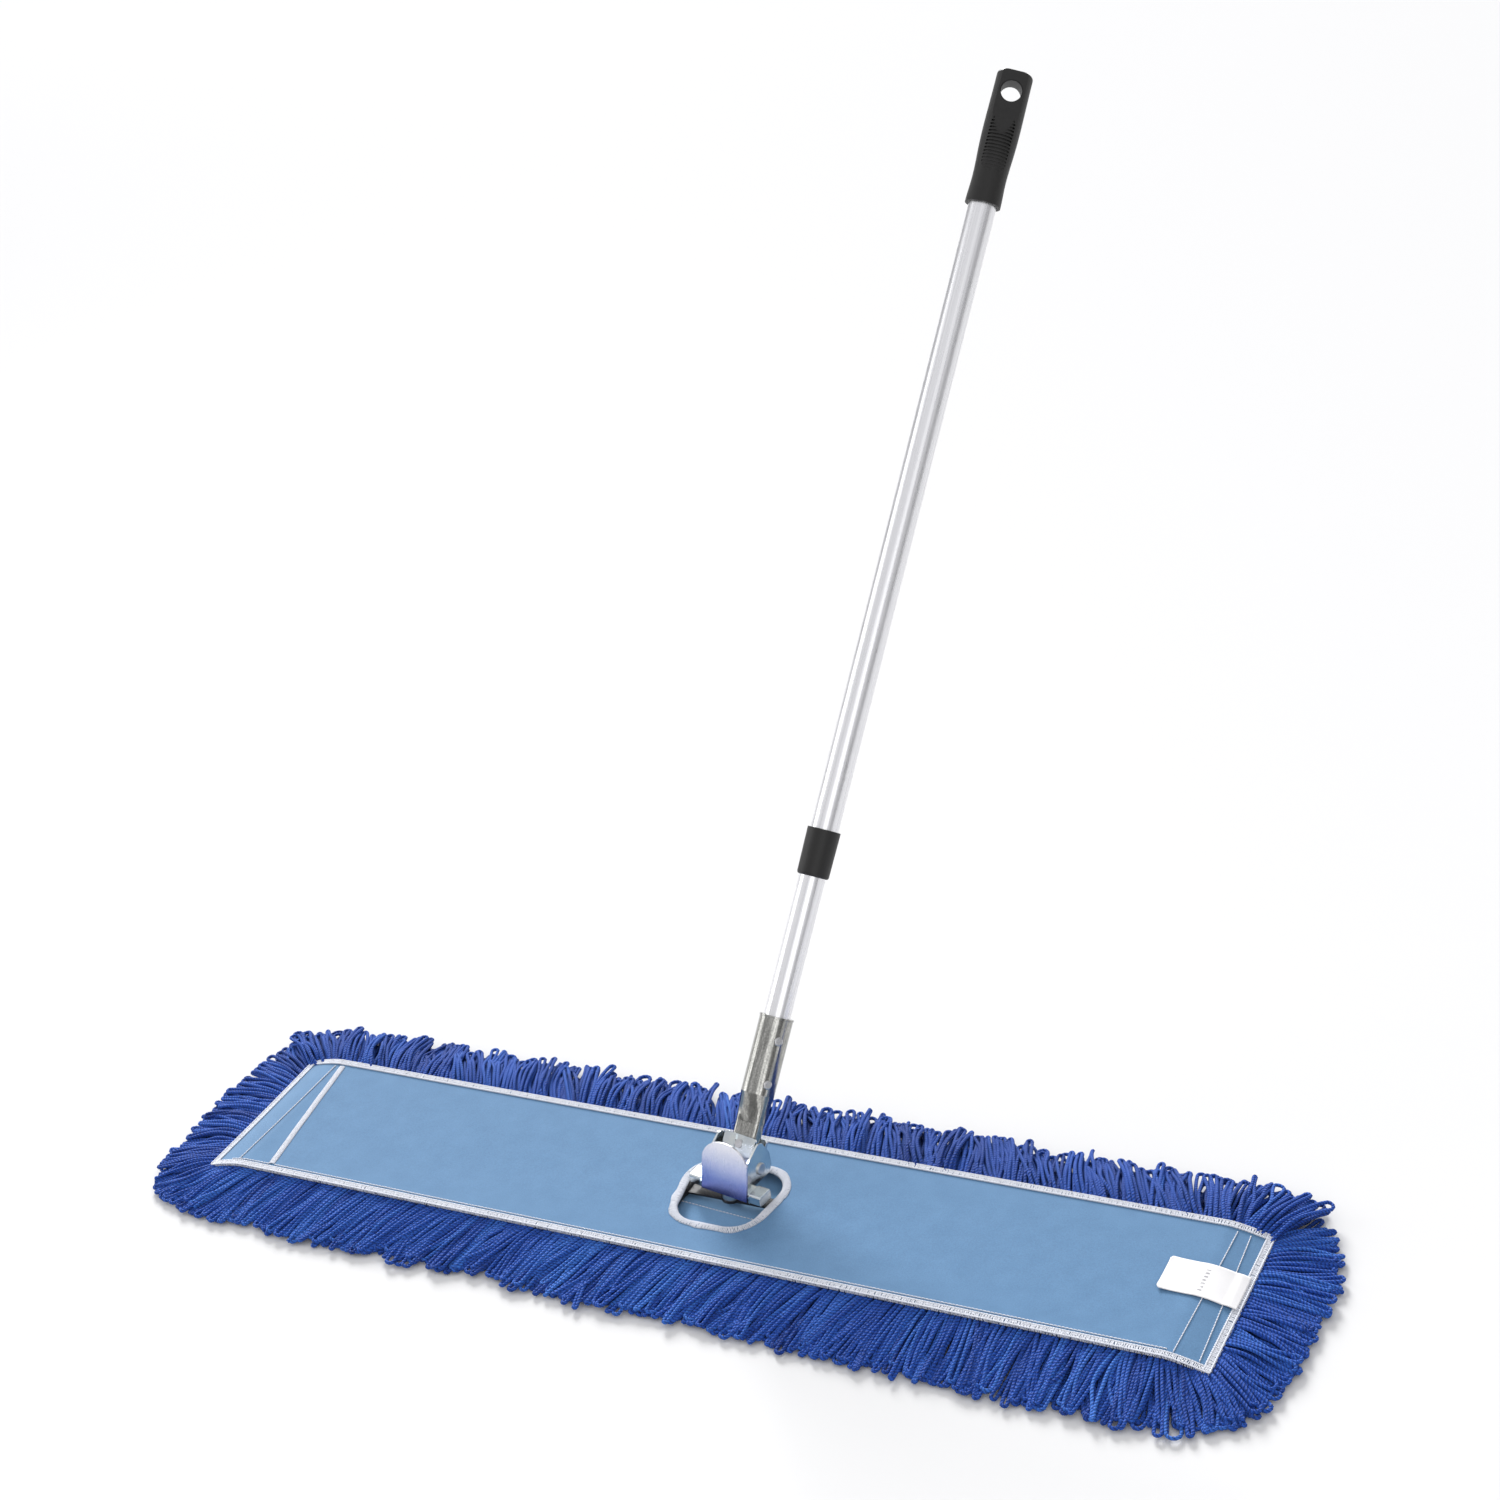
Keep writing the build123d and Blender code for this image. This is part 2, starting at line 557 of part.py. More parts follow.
def make_guide_plug():
    """Plug in the inner tube's top end, which steadies it inside the outer tube."""
    plug = tube(INNER_BORE_R, 7.0, INNER_END - 22, INNER_END)
    plug += tube(INNER_R, 7.0, INNER_END, INNER_END + 12)
    return HANDLE * plug


# ---- pole (handle frame) ----

def make_upper_tube():
    return HANDLE * tube(OUTER_R, OUTER_BORE_R, OUTER_START, OUTER_END)


def make_collet():
    """Split sleeve on the outer tube's mouth that the lock collar squeezes onto the inner tube."""
    start = COLLAR_START + 3.5
    sleeve = tube(13.4, INNER_R + FIT, start, OUTER_START)
    sleeve += tube(13.4, OUTER_R, OUTER_START, COLLAR_END - 5)
    for angle in (0, 90):
        slit = Pos(0, 0, start + 5) * Rot(0, 0, angle) * Box(40, 1.2, 12)
        sleeve -= slit
    return HANDLE * sleeve


def make_lock_collar():
    """Twist-lock collar: slightly conical, rounded at its lower edge."""
    low_r, high_r, bore = 14.5, 15.0, 13.5
    profile = [
        (INNER_R + 0.15, COLLAR_START + 0.6),
        (low_r - 1.6, COLLAR_START),
        (low_r - 0.4, COLLAR_START + 0.8),
        (low_r, COLLAR_START + 2.4),
        (high_r, COLLAR_END - 1.5),
        (high_r, COLLAR_END),
        (OUTER_R + 0.1, COLLAR_END),
        (OUTER_R + 0.1, COLLAR_END - 4),
        (bore, COLLAR_END - 4),
        (bore, COLLAR_START + 3),
        (INNER_R + 0.15, COLLAR_START + 3),
    ]
    face = make_face(Polyline([(r, 0, z) for r, z in profile], close=True))
    return HANDLE * revolve(face, axis=Axis.Z)


def grip_blank():
    """Turned body of the grip: flared at its mouth, waisted, with a nearly flat top."""
    corner_r = 4.0
    wide_r, mouth_r, waist_r = 16.4, 16.2, 15.4
    points = [
        (GRIP_START, mouth_r),
        (GRIP_START + 22, waist_r),
        (GRIP_START + 50, wide_r),
        (GRIP_END - corner_r, wide_r),
    ]
    side = Spline([(r, 0, z) for z, r in points], tangents=[(0, 0, 1), (0, 0, 1)])
    shoulder = (wide_r - corner_r, 0, GRIP_END - 0.6)
    edge_mid = (wide_r - 0.3 * corner_r, 0, GRIP_END - 0.35 * corner_r)
    edges = [
        Line((0, 0, GRIP_START), (mouth_r, 0, GRIP_START)),
        side,
        ThreePointArc((wide_r, 0, GRIP_END - corner_r), edge_mid, shoulder),
        Line(shoulder, (0, 0, GRIP_END)),
        Line((0, 0, GRIP_END), (0, 0, GRIP_START)),
    ]
    return revolve(make_face(Wire(edges)), axis=Axis.Z)


def flattened_zone():
    """What is kept of the grip: full round below, narrowing to flat faces round the hanging hole."""
    half = 20.0
    side = [(-half, GRIP_START - 1), (-half, OUTER_END - 12), (-15.6, OUTER_END - 6)]
    side += [(-GRIP_FLAT - 1.2, OUTER_END + 8), (-GRIP_FLAT, OUTER_END + 18), (-GRIP_FLAT, GRIP_END + 1)]
    side += [(-y, z) for y, z in reversed(side)]
    return plate_yz(side, -half, half)


def finger_grooves():
    """Ring grooves round the grip, kept only inside an oval field on its front and back."""
    rings = Part()
    for k in range(RIB_COUNT):
        z = RIB_FIELD_START + (k + 0.5) * RIB_PITCH
        rings += tube(20, 15.3, z - RIB_PITCH / 4, z + RIB_PITCH / 4)
    length = RIB_COUNT * RIB_PITCH + 2
    centre = Pos(0, 0, RIB_FIELD_START + length / 2 - 1)
    outline = RectangleRounded(RIB_FIELD_WIDTH, length, RIB_FIELD_WIDTH / 2 - 0.1)
    return rings & (centre * ALONG_Y * extrude(outline, 30, both=True))


def make_grip():
    """Moulded grip with finger grooves front and back and a hole to hang it by."""
    grip = (grip_blank() & flattened_zone()) - finger_grooves()
    depth = OUTER_END - GRIP_START
    grip -= Pos(0, 0, GRIP_START + depth / 2 - 1) * Cylinder(OUTER_R, depth + 2)
    grip -= Pos(0, 0, HANG_U) * ALONG_Y * Cylinder(HANG_R, 60)
    for side in (-1, 1):
        grip -= Pos(0, side * GRIP_FLAT, HANG_U) * Rot(-90 * side, 0, 0) * Cone(HANG_R, HANG_R + 1.5, 2.0)
    return HANDLE * Rot(0, 0, GRIP_TURN) * grip


def main():
    os.makedirs("parts", exist_ok=True)
    parts = {
        "yarn_base": make_yarn_base(),
        "fringe_near": make_long_fringe(-1),
        "fringe_far": make_long_fringe(1),
        "fringe_left": make_end_fringe(-1),
        "fringe_right": make_end_fringe(1),
        "backing_lower": make_backing_lower(),
        "backing_upper": make_backing_upper(),
        "pocket_panel": make_pocket_panel(),
        "edge_seam": make_edge_seam(),
        "opening_seam": make_opening_seam(),
        "slot_seam": make_slot_seam(),
        "label": make_label(),
        "frame_wire_left": make_frame_half(-1),
        "frame_wire_right": make_frame_half(1),
        "cross_wire_left": make_cross_wire(-1),
        "cross_wire_right": make_cross_wire(1),
        "centre_strap": make_centre_strap(),
        "swivel_washer": make_swivel_washer(),
        "swivel_rivet": make_swivel_rivet(),
        "swivel_bar": make_swivel_bar(),
        "clip_bracket": make_clip_bracket(),
        "tilt_pin": headed_pin(TILT_PIN_R, 5.5, 1.8, PIN_Y, PIN_Z),
        "lever_pin": headed_pin(LEVER_PIN_R, 3.5, 1.2, LEVER_PIN_Y, LEVER_PIN_Z),
        "clip_lever": make_clip_lever(),
        "lever_spring": make_lever_spring(),
        "knuckle": make_knuckle(),
        "swing_rivet": make_swing_rivet(),
        "ferrule": make_ferrule(),
        "ferrule_bush": make_ferrule_bush(),
        "ferrule_screws": make_ferrule_screws(),
        "lower_tube": make_lower_tube(),
        "guide_plug": make_guide_plug(),
        "upper_tube": make_upper_tube(),
        "collet": make_collet(),
        "lock_collar": make_lock_collar(),
        "grip": make_grip(),
    }
    for name, part in parts.items():
        export_step(part, f"parts/{name}.step")


main()
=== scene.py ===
"""Looks of the flat mop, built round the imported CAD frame. Metres, in the CAD's own frame."""
import json
from math import atan2, cos, pi, radians, sin, tau

import bpy
import numpy as np
from mathutils import Euler, Matrix, Vector


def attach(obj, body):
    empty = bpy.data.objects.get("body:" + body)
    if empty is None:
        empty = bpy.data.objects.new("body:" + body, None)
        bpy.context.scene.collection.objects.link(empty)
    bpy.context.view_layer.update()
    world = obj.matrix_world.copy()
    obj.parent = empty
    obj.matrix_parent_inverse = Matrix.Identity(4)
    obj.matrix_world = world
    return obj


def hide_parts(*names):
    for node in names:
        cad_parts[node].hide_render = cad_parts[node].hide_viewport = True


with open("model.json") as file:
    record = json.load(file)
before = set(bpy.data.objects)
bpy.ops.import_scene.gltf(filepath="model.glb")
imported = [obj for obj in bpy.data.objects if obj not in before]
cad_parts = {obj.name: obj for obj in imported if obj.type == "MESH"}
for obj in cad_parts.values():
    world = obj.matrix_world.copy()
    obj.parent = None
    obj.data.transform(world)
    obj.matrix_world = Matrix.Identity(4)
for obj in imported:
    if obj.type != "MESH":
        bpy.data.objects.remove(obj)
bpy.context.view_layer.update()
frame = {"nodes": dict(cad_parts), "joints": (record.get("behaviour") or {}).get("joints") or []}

MM = 0.001
rng = np.random.default_rng(7)

# ---------------------------------------------------------------- sizes, from the frame and in millimetres
CLOTH_HALF_X = 490.0
CLOTH_HALF_Y = 84.0
CLOTH_TOP = 22.5
CLOTH_T = 1.1
DROOP = 8.4
DROOP_START = 452.0
LOWER_TOP = 11.7
SEAM_WIDTH = 5.0
OPENING_STITCHES = 215
LABEL_X = (421.5, 488.5)
LABEL_Y = 9.0
LABEL_HALF_Y = 20.0
LABEL_CORNER_R = 3.0
STRAND_R = 1.72
PLY_TURN = 6.4          # one full twist of the yarn, which shows two plies
THREAD_TURN = 1.1       # one full twist of the sewing thread
FAN_ZONE = 62.0         # length from a corner over which the strands fan out
OPENING = {"x": 22.5, "far_y": 42.0, "near_y": -40.0, "far_half": 50.0, "near_half": 37.0, "round": 26.0}
SLOT_NEAR = np.array([-424.0, -90.0])
SLOT_FAR = np.array([-451.0, 90.0])
BUNCH = 15.0            # length of the edge whose loops lean together
TUFT_ROWS = 9.5         # pitch of the tufted rows underneath
TUFT_PITCH = 7.3        # along a row; a finer one takes the piece past the export's triangle limit


# ---------------------------------------------------------------- shader helpers

def linear(r, g, b):
    """sRGB 0-255 to a linear colour."""
    channels = [c / 255 for c in (r, g, b)]
    return [c / 12.92 if c <= 0.04045 else ((c + 0.055) / 1.055) ** 2.4 for c in channels] + [1.0]


class Shader:
    """A principled material and short ways to add nodes to it."""

    def __init__(self, name, **sockets):
        self.material = bpy.data.materials.new(name)
        self.material.use_nodes = True
        self.tree = self.material.node_tree
        self.main = self.tree.nodes["Principled BSDF"]
        for socket, value in sockets.items():
            self.main.inputs[socket.replace("_", " ")].default_value = value

    def node(self, kind, inputs=None, **settings):
        made = self.tree.nodes.new(kind)
        for key, value in settings.items():
            setattr(made, key, value)
        for key, value in (inputs or {}).items():
            if isinstance(value, bpy.types.NodeSocket):
                self.tree.links.new(value, made.inputs[key])
            else:
                made.inputs[key].default_value = value
        return made

    def coordinates(self, scale=(1, 1, 1)):
        source = self.node("ShaderNodeTexCoord").outputs["Object"]
        return self.node("ShaderNodeMapping", {"Vector": source, "Scale": scale}).outputs[0]

    def noise(self, scale, detail=3.0, vector=None):
        inputs = {"Scale": scale, "Detail": detail, "Roughness": 0.55}
        if vector is not None:
            inputs["Vector"] = vector
        return self.node("ShaderNodeTexNoise", inputs).outputs[0]

    def ramp(self, fac, stops):
        made = self.node("ShaderNodeValToRGB", {"Fac": fac})
        elements = made.color_ramp.elements
        while len(elements) < len(stops):
            elements.new(0.5)
        for element, (at, colour) in zip(elements, stops):
            element.position = at
            element.color = colour
        return made.outputs[0]

    def span(self, value, low, high, to_low=0.0, to_high=1.0):
        inputs = {"Value": value, "From Min": low, "From Max": high, "To Min": to_low, "To Max": to_high}
        return self.node("ShaderNodeMapRange", inputs).outputs[0]

    def maths(self, operation, a, b=0.0):
        return self.node("ShaderNodeMath", {0: a, 1: b}, operation=operation).outputs[0]

    def blend(self, fac, a, b, mode="MIX"):
        made = self.node("ShaderNodeMix", data_type="RGBA", blend_type=mode)
        for index, value in ((0, fac), (6, a), (7, b)):
            if isinstance(value, bpy.types.NodeSocket):
                self.tree.links.new(value, made.inputs[index])
            else:
                made.inputs[index].default_value = value
        return made.outputs[2]

    def link(self, output, socket):
        self.tree.links.new(output, self.main.inputs[socket])

    def bump(self, *layers, bevel=0.0):
        """Layers are (height, strength, distance in metres), the coarsest first."""
        normal = None
        if bevel:
            normal = self.node("ShaderNodeBevel", {"Radius": bevel}, samples=4).outputs[0]
        for height, strength, distance in layers:
            inputs = {"Height": height, "Strength": strength, "Distance": distance}
            if normal is not None:
                inputs["Normal"] = normal
            normal = self.node("ShaderNodeBump", inputs).outputs[0]
        self.link(normal, "Normal")


# ---------------------------------------------------------------- materials

def strand_twist(s, turn):
    """The strands' map, and the phase of a twist: U runs along a strand in millimetres, V goes round it."""
    uv = s.node("ShaderNodeUVMap", uv_map="strand").outputs[0]
    parts = s.node("ShaderNodeSeparateXYZ", {0: uv})
    along, around = parts.outputs[0], parts.outputs[1]
    return uv, s.maths("ADD", s.maths("MULTIPLY", along, tau / turn), s.maths("MULTIPLY", around, tau))


def yarn_material():
    """Twisted cotton yarn, a little uneven in its twist, with painted shade in the grooves between its plies."""
    s = Shader("yarn_blue", Roughness=0.8, Sheen_Weight=0.3, Sheen_Roughness=0.45, Specular_IOR_Level=0.3)
    s.main.inputs["Sheen Tint"].default_value = linear(110, 155, 235)
    uv, phase = strand_twist(s, PLY_TURN)
    uneven = s.maths("MULTIPLY", s.noise(90.0, 2, s.coordinates()), 5.0)
    plies = s.maths("ABSOLUTE", s.maths("SINE", s.maths("ADD", phase, uneven)))
    fibre_map = s.node("ShaderNodeMapping", {"Vector": uv, "Scale": (1.2, 9.0, 1.0)}).outputs[0]
    fibres = s.noise(1.0, 4, fibre_map)
    tint = s.node("ShaderNodeAttribute", attribute_name="tint").outputs["Fac"]
    body = s.ramp(tint, [(0.0, linear(20, 54, 134)), (0.5, linear(33, 79, 172)), (1.0, linear(58, 114, 204))])
    # painted shade: the grooves of the twist are darkened, the crests keep the yarn's own colour
    stops = [(0.0, linear(150, 150, 164)), (0.45, linear(220, 220, 226)), (1.0, linear(255, 255, 255))]
    groove_shade = s.ramp(plies, stops)
    fleck = s.span(fibres, 0.3, 0.75, 0.78, 1.3)
    shade = s.blend(1.0, groove_shade, fleck, "MULTIPLY")
    s.link(s.blend(1.0, body, shade, "MULTIPLY"), "Base Color")
    s.bump((plies, 0.8, 1.0 * MM), (fibres, 0.4, 0.3 * MM))
    return s.material


def cloth_material(name="cloth_blue", base=(76, 119, 158)):
    """Brushed felt-like woven backing."""
    s = Shader(name, Roughness=0.92, Sheen_Weight=0.25, Sheen_Roughness=0.6, Specular_IOR_Level=0.2)
    place = s.coordinates()
    mottle = s.noise(55.0, 4, place)
    fine = s.noise(900.0, 3, place)
    wave = {"Vector": place, "Scale": 330.0, "Distortion": 1.5, "Detail": 1.0}
    weft, warp = (s.node("ShaderNodeTexWave", wave, bands_direction=axis).outputs[1] for axis in "XY")
    weave = s.maths("MULTIPLY", weft, warp)
    low = linear(*(c - 4 for c in base))
    high = linear(*(c + 4 for c in base))
    colour = s.ramp(mottle, [(0.25, low), (0.75, high)])
    grain = s.span(fine, 0.25, 0.75, 0.86, 1.12)
    s.link(s.blend(1.0, colour, grain, "MULTIPLY"), "Base Color")
    s.bump((mottle, 0.15, 0.8 * MM), (weave, 0.3, 0.15 * MM), (fine, 0.35, 0.15 * MM))
    return s.material


def thread_material():
    """Slightly lustrous white polyester thread."""
    s = Shader("thread_white", Roughness=0.62, Sheen_Weight=0.2, Specular_IOR_Level=0.35)
    _, phase = strand_twist(s, THREAD_TURN)
    twist = s.maths("ABSOLUTE", s.maths("SINE", phase))
    lint = s.noise(420.0, 3)
    s.link(s.ramp(lint, [(0.3, linear(196, 202, 216)), (0.7, linear(232, 233, 237))]), "Base Color")
    s.bump((twist, 0.5, 0.2 * MM))
    return s.material


# the label's column of dashes, in metres: its middle and half sizes, and the pitch of the dashes
MARKS_X, MARKS_HALF_X = 0.4555, 0.0017
MARKS_Y, MARKS_HALF_Y = 0.009, 0.013
DASH_PITCH = 0.0042


def label_material():
    """White woven label with faint generic marks: a column of short grey dashes, no lettering."""
    s = Shader("label_white", Roughness=0.7, Sheen_Weight=0.1, Specular_IOR_Level=0.3)
    place = s.coordinates()
    weave = s.node("ShaderNodeTexWave", {"Vector": place, "Scale": 420.0}, bands_direction="Y").outputs[1]
    cells = s.noise(260.0, 0, place)
    axes = s.node("ShaderNodeSeparateXYZ", {0: place})
    across = s.maths("ABSOLUTE", s.maths("SUBTRACT", axes.outputs[0], MARKS_X))
    near_column = s.maths("LESS_THAN", across, MARKS_HALF_X)
    along = s.maths("ABSOLUTE", s.maths("SUBTRACT", axes.outputs[1], MARKS_Y))
    in_rows = s.maths("LESS_THAN", along, MARKS_HALF_Y)
    rhythm = s.maths("SINE", s.maths("MULTIPLY", axes.outputs[1], tau / DASH_PITCH))
    dash = s.maths("GREATER_THAN", rhythm, 0.15)
    mark = s.maths("MULTIPLY", s.maths("MULTIPLY", near_column, in_rows), dash)
    mark = s.maths("MULTIPLY", mark, s.span(cells, 0.35, 0.6, 0.15, 0.7))
    s.link(s.blend(mark, linear(226, 225, 226), linear(110, 110, 118)), "Base Color")
    s.bump((weave, 0.2, 0.1 * MM))
    return s.material


def zinc_material():
    """Bright zinc plate with a faint blue-violet passivation."""
    s = Shader("zinc_bright", Metallic=1.0, Roughness=0.2)
    place = s.coordinates()
    cloud = s.noise(38.0, 3, place)
    streaks = s.noise(60.0, 4, s.coordinates(scale=(1, 1, 14)))
    stops = [(0.25, linear(190, 200, 208)), (0.5, linear(214, 220, 222)), (0.75, linear(232, 230, 222))]
    s.link(s.ramp(cloud, stops), "Base Color")
    s.link(s.span(streaks, 0.3, 0.7, 0.13, 0.27), "Roughness")
    s.bump((streaks, 0.1, 0.25 * MM), bevel=0.5 * MM)
    return s.material


def lever_material():
    """The lever's plate: the same zinc, with a painted reflection and shade: deeper violet towards its lower
    lip, lighter towards its top.
    """
    s = Shader("zinc_lever", Metallic=1.0, Roughness=0.24)
    place = s.coordinates()
    height = s.node("ShaderNodeSeparateXYZ", {0: place}).outputs[2]
    wobble = s.maths("MULTIPLY", s.maths("SUBTRACT", s.noise(30.0, 3, place), 0.5), 0.016)
    # painted reflection and shade: the colour runs from deep violet at the lower lip to near white at the top
    level = s.span(s.maths("ADD", height, wobble), 0.026, 0.068)
    stops = [(0.0, linear(112, 122, 192)), (0.3, linear(160, 168, 220)), (0.65, linear(214, 217, 238)),
             (1.0, linear(240, 240, 246))]
    s.link(s.ramp(level, stops), "Base Color")
    streaks = s.noise(70.0, 4, s.coordinates(scale=(10, 1, 1)))
    s.link(s.span(streaks, 0.3, 0.7, 0.22, 0.28), "Roughness")
    s.bump((streaks, 0.03, 0.2 * MM), bevel=0.6 * MM)
    return s.material


def galvanised_material():
    """Galvanised sheet tube: fine speckle with short marks drawn along it."""
    s = Shader("galvanised", Metallic=1.0, Roughness=0.22)
    speckle = s.noise(700.0, 5, s.coordinates())
    drawn = s.noise(1.0, 4, handle_map(s, (520, 520, 60)))
    cloud = s.noise(60.0, 3, s.coordinates())
    mix = s.maths("ADD", s.maths("MULTIPLY", speckle, 0.4), s.maths("MULTIPLY", drawn, 0.6))
    stops = [(0.3, linear(112, 112, 110)), (0.52, linear(160, 160, 156)), (0.72, linear(204, 202, 198))]
    s.link(s.ramp(mix, stops), "Base Color")
    rough = s.maths("ADD", s.span(mix, 0.3, 0.7, 0.22, 0.13), s.span(cloud, 0.3, 0.7, -0.03, 0.04))
    s.link(rough, "Roughness")
    s.bump((cloud, 0.06, 0.5 * MM), (mix, 0.12, 0.12 * MM), bevel=0.4 * MM)
    return s.material


def steel_material(name, base, rough=0.28):
    s = Shader(name, Metallic=1.0, Roughness=rough)
    marks = s.noise(240.0, 4)
    low = linear(*(c - 26 for c in base))
    s.link(s.ramp(marks, [(0.3, low), (0.7, linear(*base))]), "Base Color")
    s.link(s.span(marks, 0.3, 0.7, rough + 0.08, rough - 0.06), "Roughness")
    s.bump((marks, 0.1, 0.1 * MM), bevel=0.3 * MM)
    return s.material


def aluminium_material():
    """Satin drawn tube: long fine scratches along the pole."""
    s = Shader("aluminium_satin", Metallic=0.9, Roughness=0.24)
    along = handle_map(s, (700, 700, 2))
    lines = s.noise(1.0, 3, along)
    cloud = s.noise(14.0, 2)
    s.link(s.ramp(lines, [(0.3, linear(222, 222, 225)), (0.7, linear(240, 240, 242))]), "Base Color")
    rough = s.maths("ADD", s.span(lines, 0.3, 0.7, 0.26, 0.31), s.span(cloud, 0.3, 0.7, -0.02, 0.03))
    s.link(rough, "Roughness")
    s.bump((lines, 0.03, 0.03 * MM), bevel=0.2 * MM)
    return s.material


def plastic_material(name, base, rough, grain):
    s = Shader(name, Roughness=rough, Specular_IOR_Level=0.5)
    fine = s.noise(grain, 4)
    cloud = s.noise(24.0, 3)
    low = linear(*(max(c - 8, 4) for c in base))
    s.link(s.ramp(cloud, [(0.3, low), (0.7, linear(*base))]), "Base Color")
    s.link(s.span(fine, 0.3, 0.7, rough - 0.05, rough + 0.08), "Roughness")
    s.bump((fine, 0.18, 0.08 * MM), bevel=0.4 * MM)
    return s.material


def wire_material():
    """Near-black gloss, lumpy: painted shade and painted dark reflections, the dark the frame's wires show
    inside the pocket.
    """
    s = Shader("black_wire_painted_shade", Roughness=0.4, Coat_Weight=0.25, Coat_Roughness=0.2)
    lumps = s.noise(230.0, 4)
    s.link(s.ramp(lumps, [(0.3, linear(14, 14, 16)), (0.75, linear(38, 38, 42))]), "Base Color")
    s.bump((lumps, 1.0, 1.6 * MM), bevel=0.3 * MM)
    return s.material


def handle_map(shader, scale):
    """Coordinates turned so that Z runs along the pole, for marks drawn along it."""
    slide = next(j for j in frame["joints"] if j["name"] == "pole_extend")
    turn = Vector(slide["axis"]).rotation_difference(Vector((0, 0, 1))).to_euler()
    source = shader.node("ShaderNodeTexCoord").outputs["Object"]
    turned = shader.node("ShaderNodeMapping", {"Vector": source, "Rotation": tuple(turn)}).outputs[0]
    return shader.node("ShaderNodeMapping", {"Vector": turned, "Scale": scale}).outputs[0]


YARN = yarn_material()
CLOTH = cloth_material()
# painted light: the lower sheet is a lighter copy of the cloth, offsetting the shade it lies in under the
# opening
LOWER_CLOTH_LIT = cloth_material("cloth_blue_lower_lit", (104, 148, 188))
THREAD = thread_material()
LABEL = label_material()
ZINC = zinc_material()
LEVER = lever_material()
GALVANISED = galvanised_material()
PIN_STEEL = steel_material("pin_steel", (206, 206, 208))
SPRING_STEEL = steel_material("spring_steel", (150, 150, 154), 0.32)
ALUMINIUM = aluminium_material()
BLACK_PLASTIC = plastic_material("plastic_black", (18, 17, 16), 0.5, 1500.0)
GREY_PLASTIC = plastic_material("plastic_grey", (120, 120, 124), 0.5, 900.0)
WIRE = wire_material()


# ---------------------------------------------------------------- mesh helpers

def new_piece(name, mesh, material):
    """Smooth object of the mesh, riding on the mop head."""
    mesh.materials.append(material)
    mesh.shade_smooth()
    piece = bpy.data.objects.new(name, mesh)
    bpy.context.scene.collection.objects.link(piece)
    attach(piece, "mop_head")
    return piece


def add_cloth(name, points, cells, thickness, material):
    """Cloth of the given thickness under a surface of points and cells. All in millimetres."""
    mesh = bpy.data.meshes.new(name)
    mesh.from_pydata((points * MM).tolist(), [], cells.tolist())
    piece = new_piece(name, mesh, material)
    solid = piece.modifiers.new("thickness", "SOLIDIFY")
    solid.thickness = thickness * MM
    solid.offset = -1
    graph = bpy.context.evaluated_depsgraph_get()
    piece.data = bpy.data.meshes.new_from_object(piece.evaluated_get(graph))
    piece.modifiers.clear()
    bpy.data.meshes.remove(mesh)
    return piece


def grid_cells(nx, ny):
    """Quads of a grid of nx by ny points."""
    index = np.arange(nx * ny).reshape(nx, ny)
    return np.stack([index[:-1, :-1], index[1:, :-1], index[1:, 1:], index[:-1, 1:]], axis=-1).reshape(-1, 4)


def tubes(paths, radius, sides):
    """Closed tubes along paths of shape (n, k, 3). Gives points, faces, loop map and each point's tube."""
    paths = np.asarray(paths, float)
    count, rings, _ = paths.shape
    tangent = np.gradient(paths, axis=1)
    tangent /= np.linalg.norm(tangent, axis=2, keepdims=True) + 1e-9
    up = np.broadcast_to(np.array([0.03, 0.02, 1.0]), tangent.shape)
    side = np.cross(tangent, up)
    side /= np.linalg.norm(side, axis=2, keepdims=True) + 1e-9
    over = np.cross(side, tangent)
    angle = np.arange(sides) / sides * tau
    radius = np.broadcast_to(np.asarray(radius, float), (count, rings))
    offset = side[:, :, None] * np.cos(angle)[:, None] + over[:, :, None] * np.sin(angle)[:, None]
    points = paths[:, :, None] + offset * radius[:, :, None, None]
    length = np.concatenate(
        [np.zeros((count, 1)), np.cumsum(np.linalg.norm(np.diff(paths, axis=1), axis=2), axis=1)], axis=1
    )
    start = (np.arange(count) * rings * sides)[:, None, None]
    ring = (np.arange(rings - 1) * sides)[None, :, None]
    j = np.arange(sides)[None, None, :]
    k = (j + 1) % sides
    low, high = start + ring, start + ring + sides
    corners = np.stack([low + j, low + k, high + k, high + j], axis=-1)
    along_low = np.broadcast_to(length[:, :-1, None], corners.shape[:3])
    along_high = np.broadcast_to(length[:, 1:, None], corners.shape[:3])
    v_low = np.broadcast_to(j / sides, corners.shape[:3])
    v_high = np.broadcast_to((j + 1) / sides, corners.shape[:3])
    uv = np.stack([
        np.stack([along_low, v_low], -1), np.stack([along_low, v_high], -1),
        np.stack([along_high, v_high], -1), np.stack([along_high, v_low], -1),
    ], axis=3)
    faces = corners.reshape(-1, 4).tolist()
    uv = uv.reshape(-1, 2)
    caps = []
    for tube_start in start[:, 0, 0]:
        caps.append([tube_start + i for i in range(sides)][::-1])
        last = tube_start + (rings - 1) * sides
        caps.append([last + i for i in range(sides)])
    uv = np.concatenate([uv, np.zeros((len(caps) * sides, 2))])
    owner = np.repeat(np.arange(count), rings * sides)
    return points.reshape(-1, 3), faces + caps, uv, owner


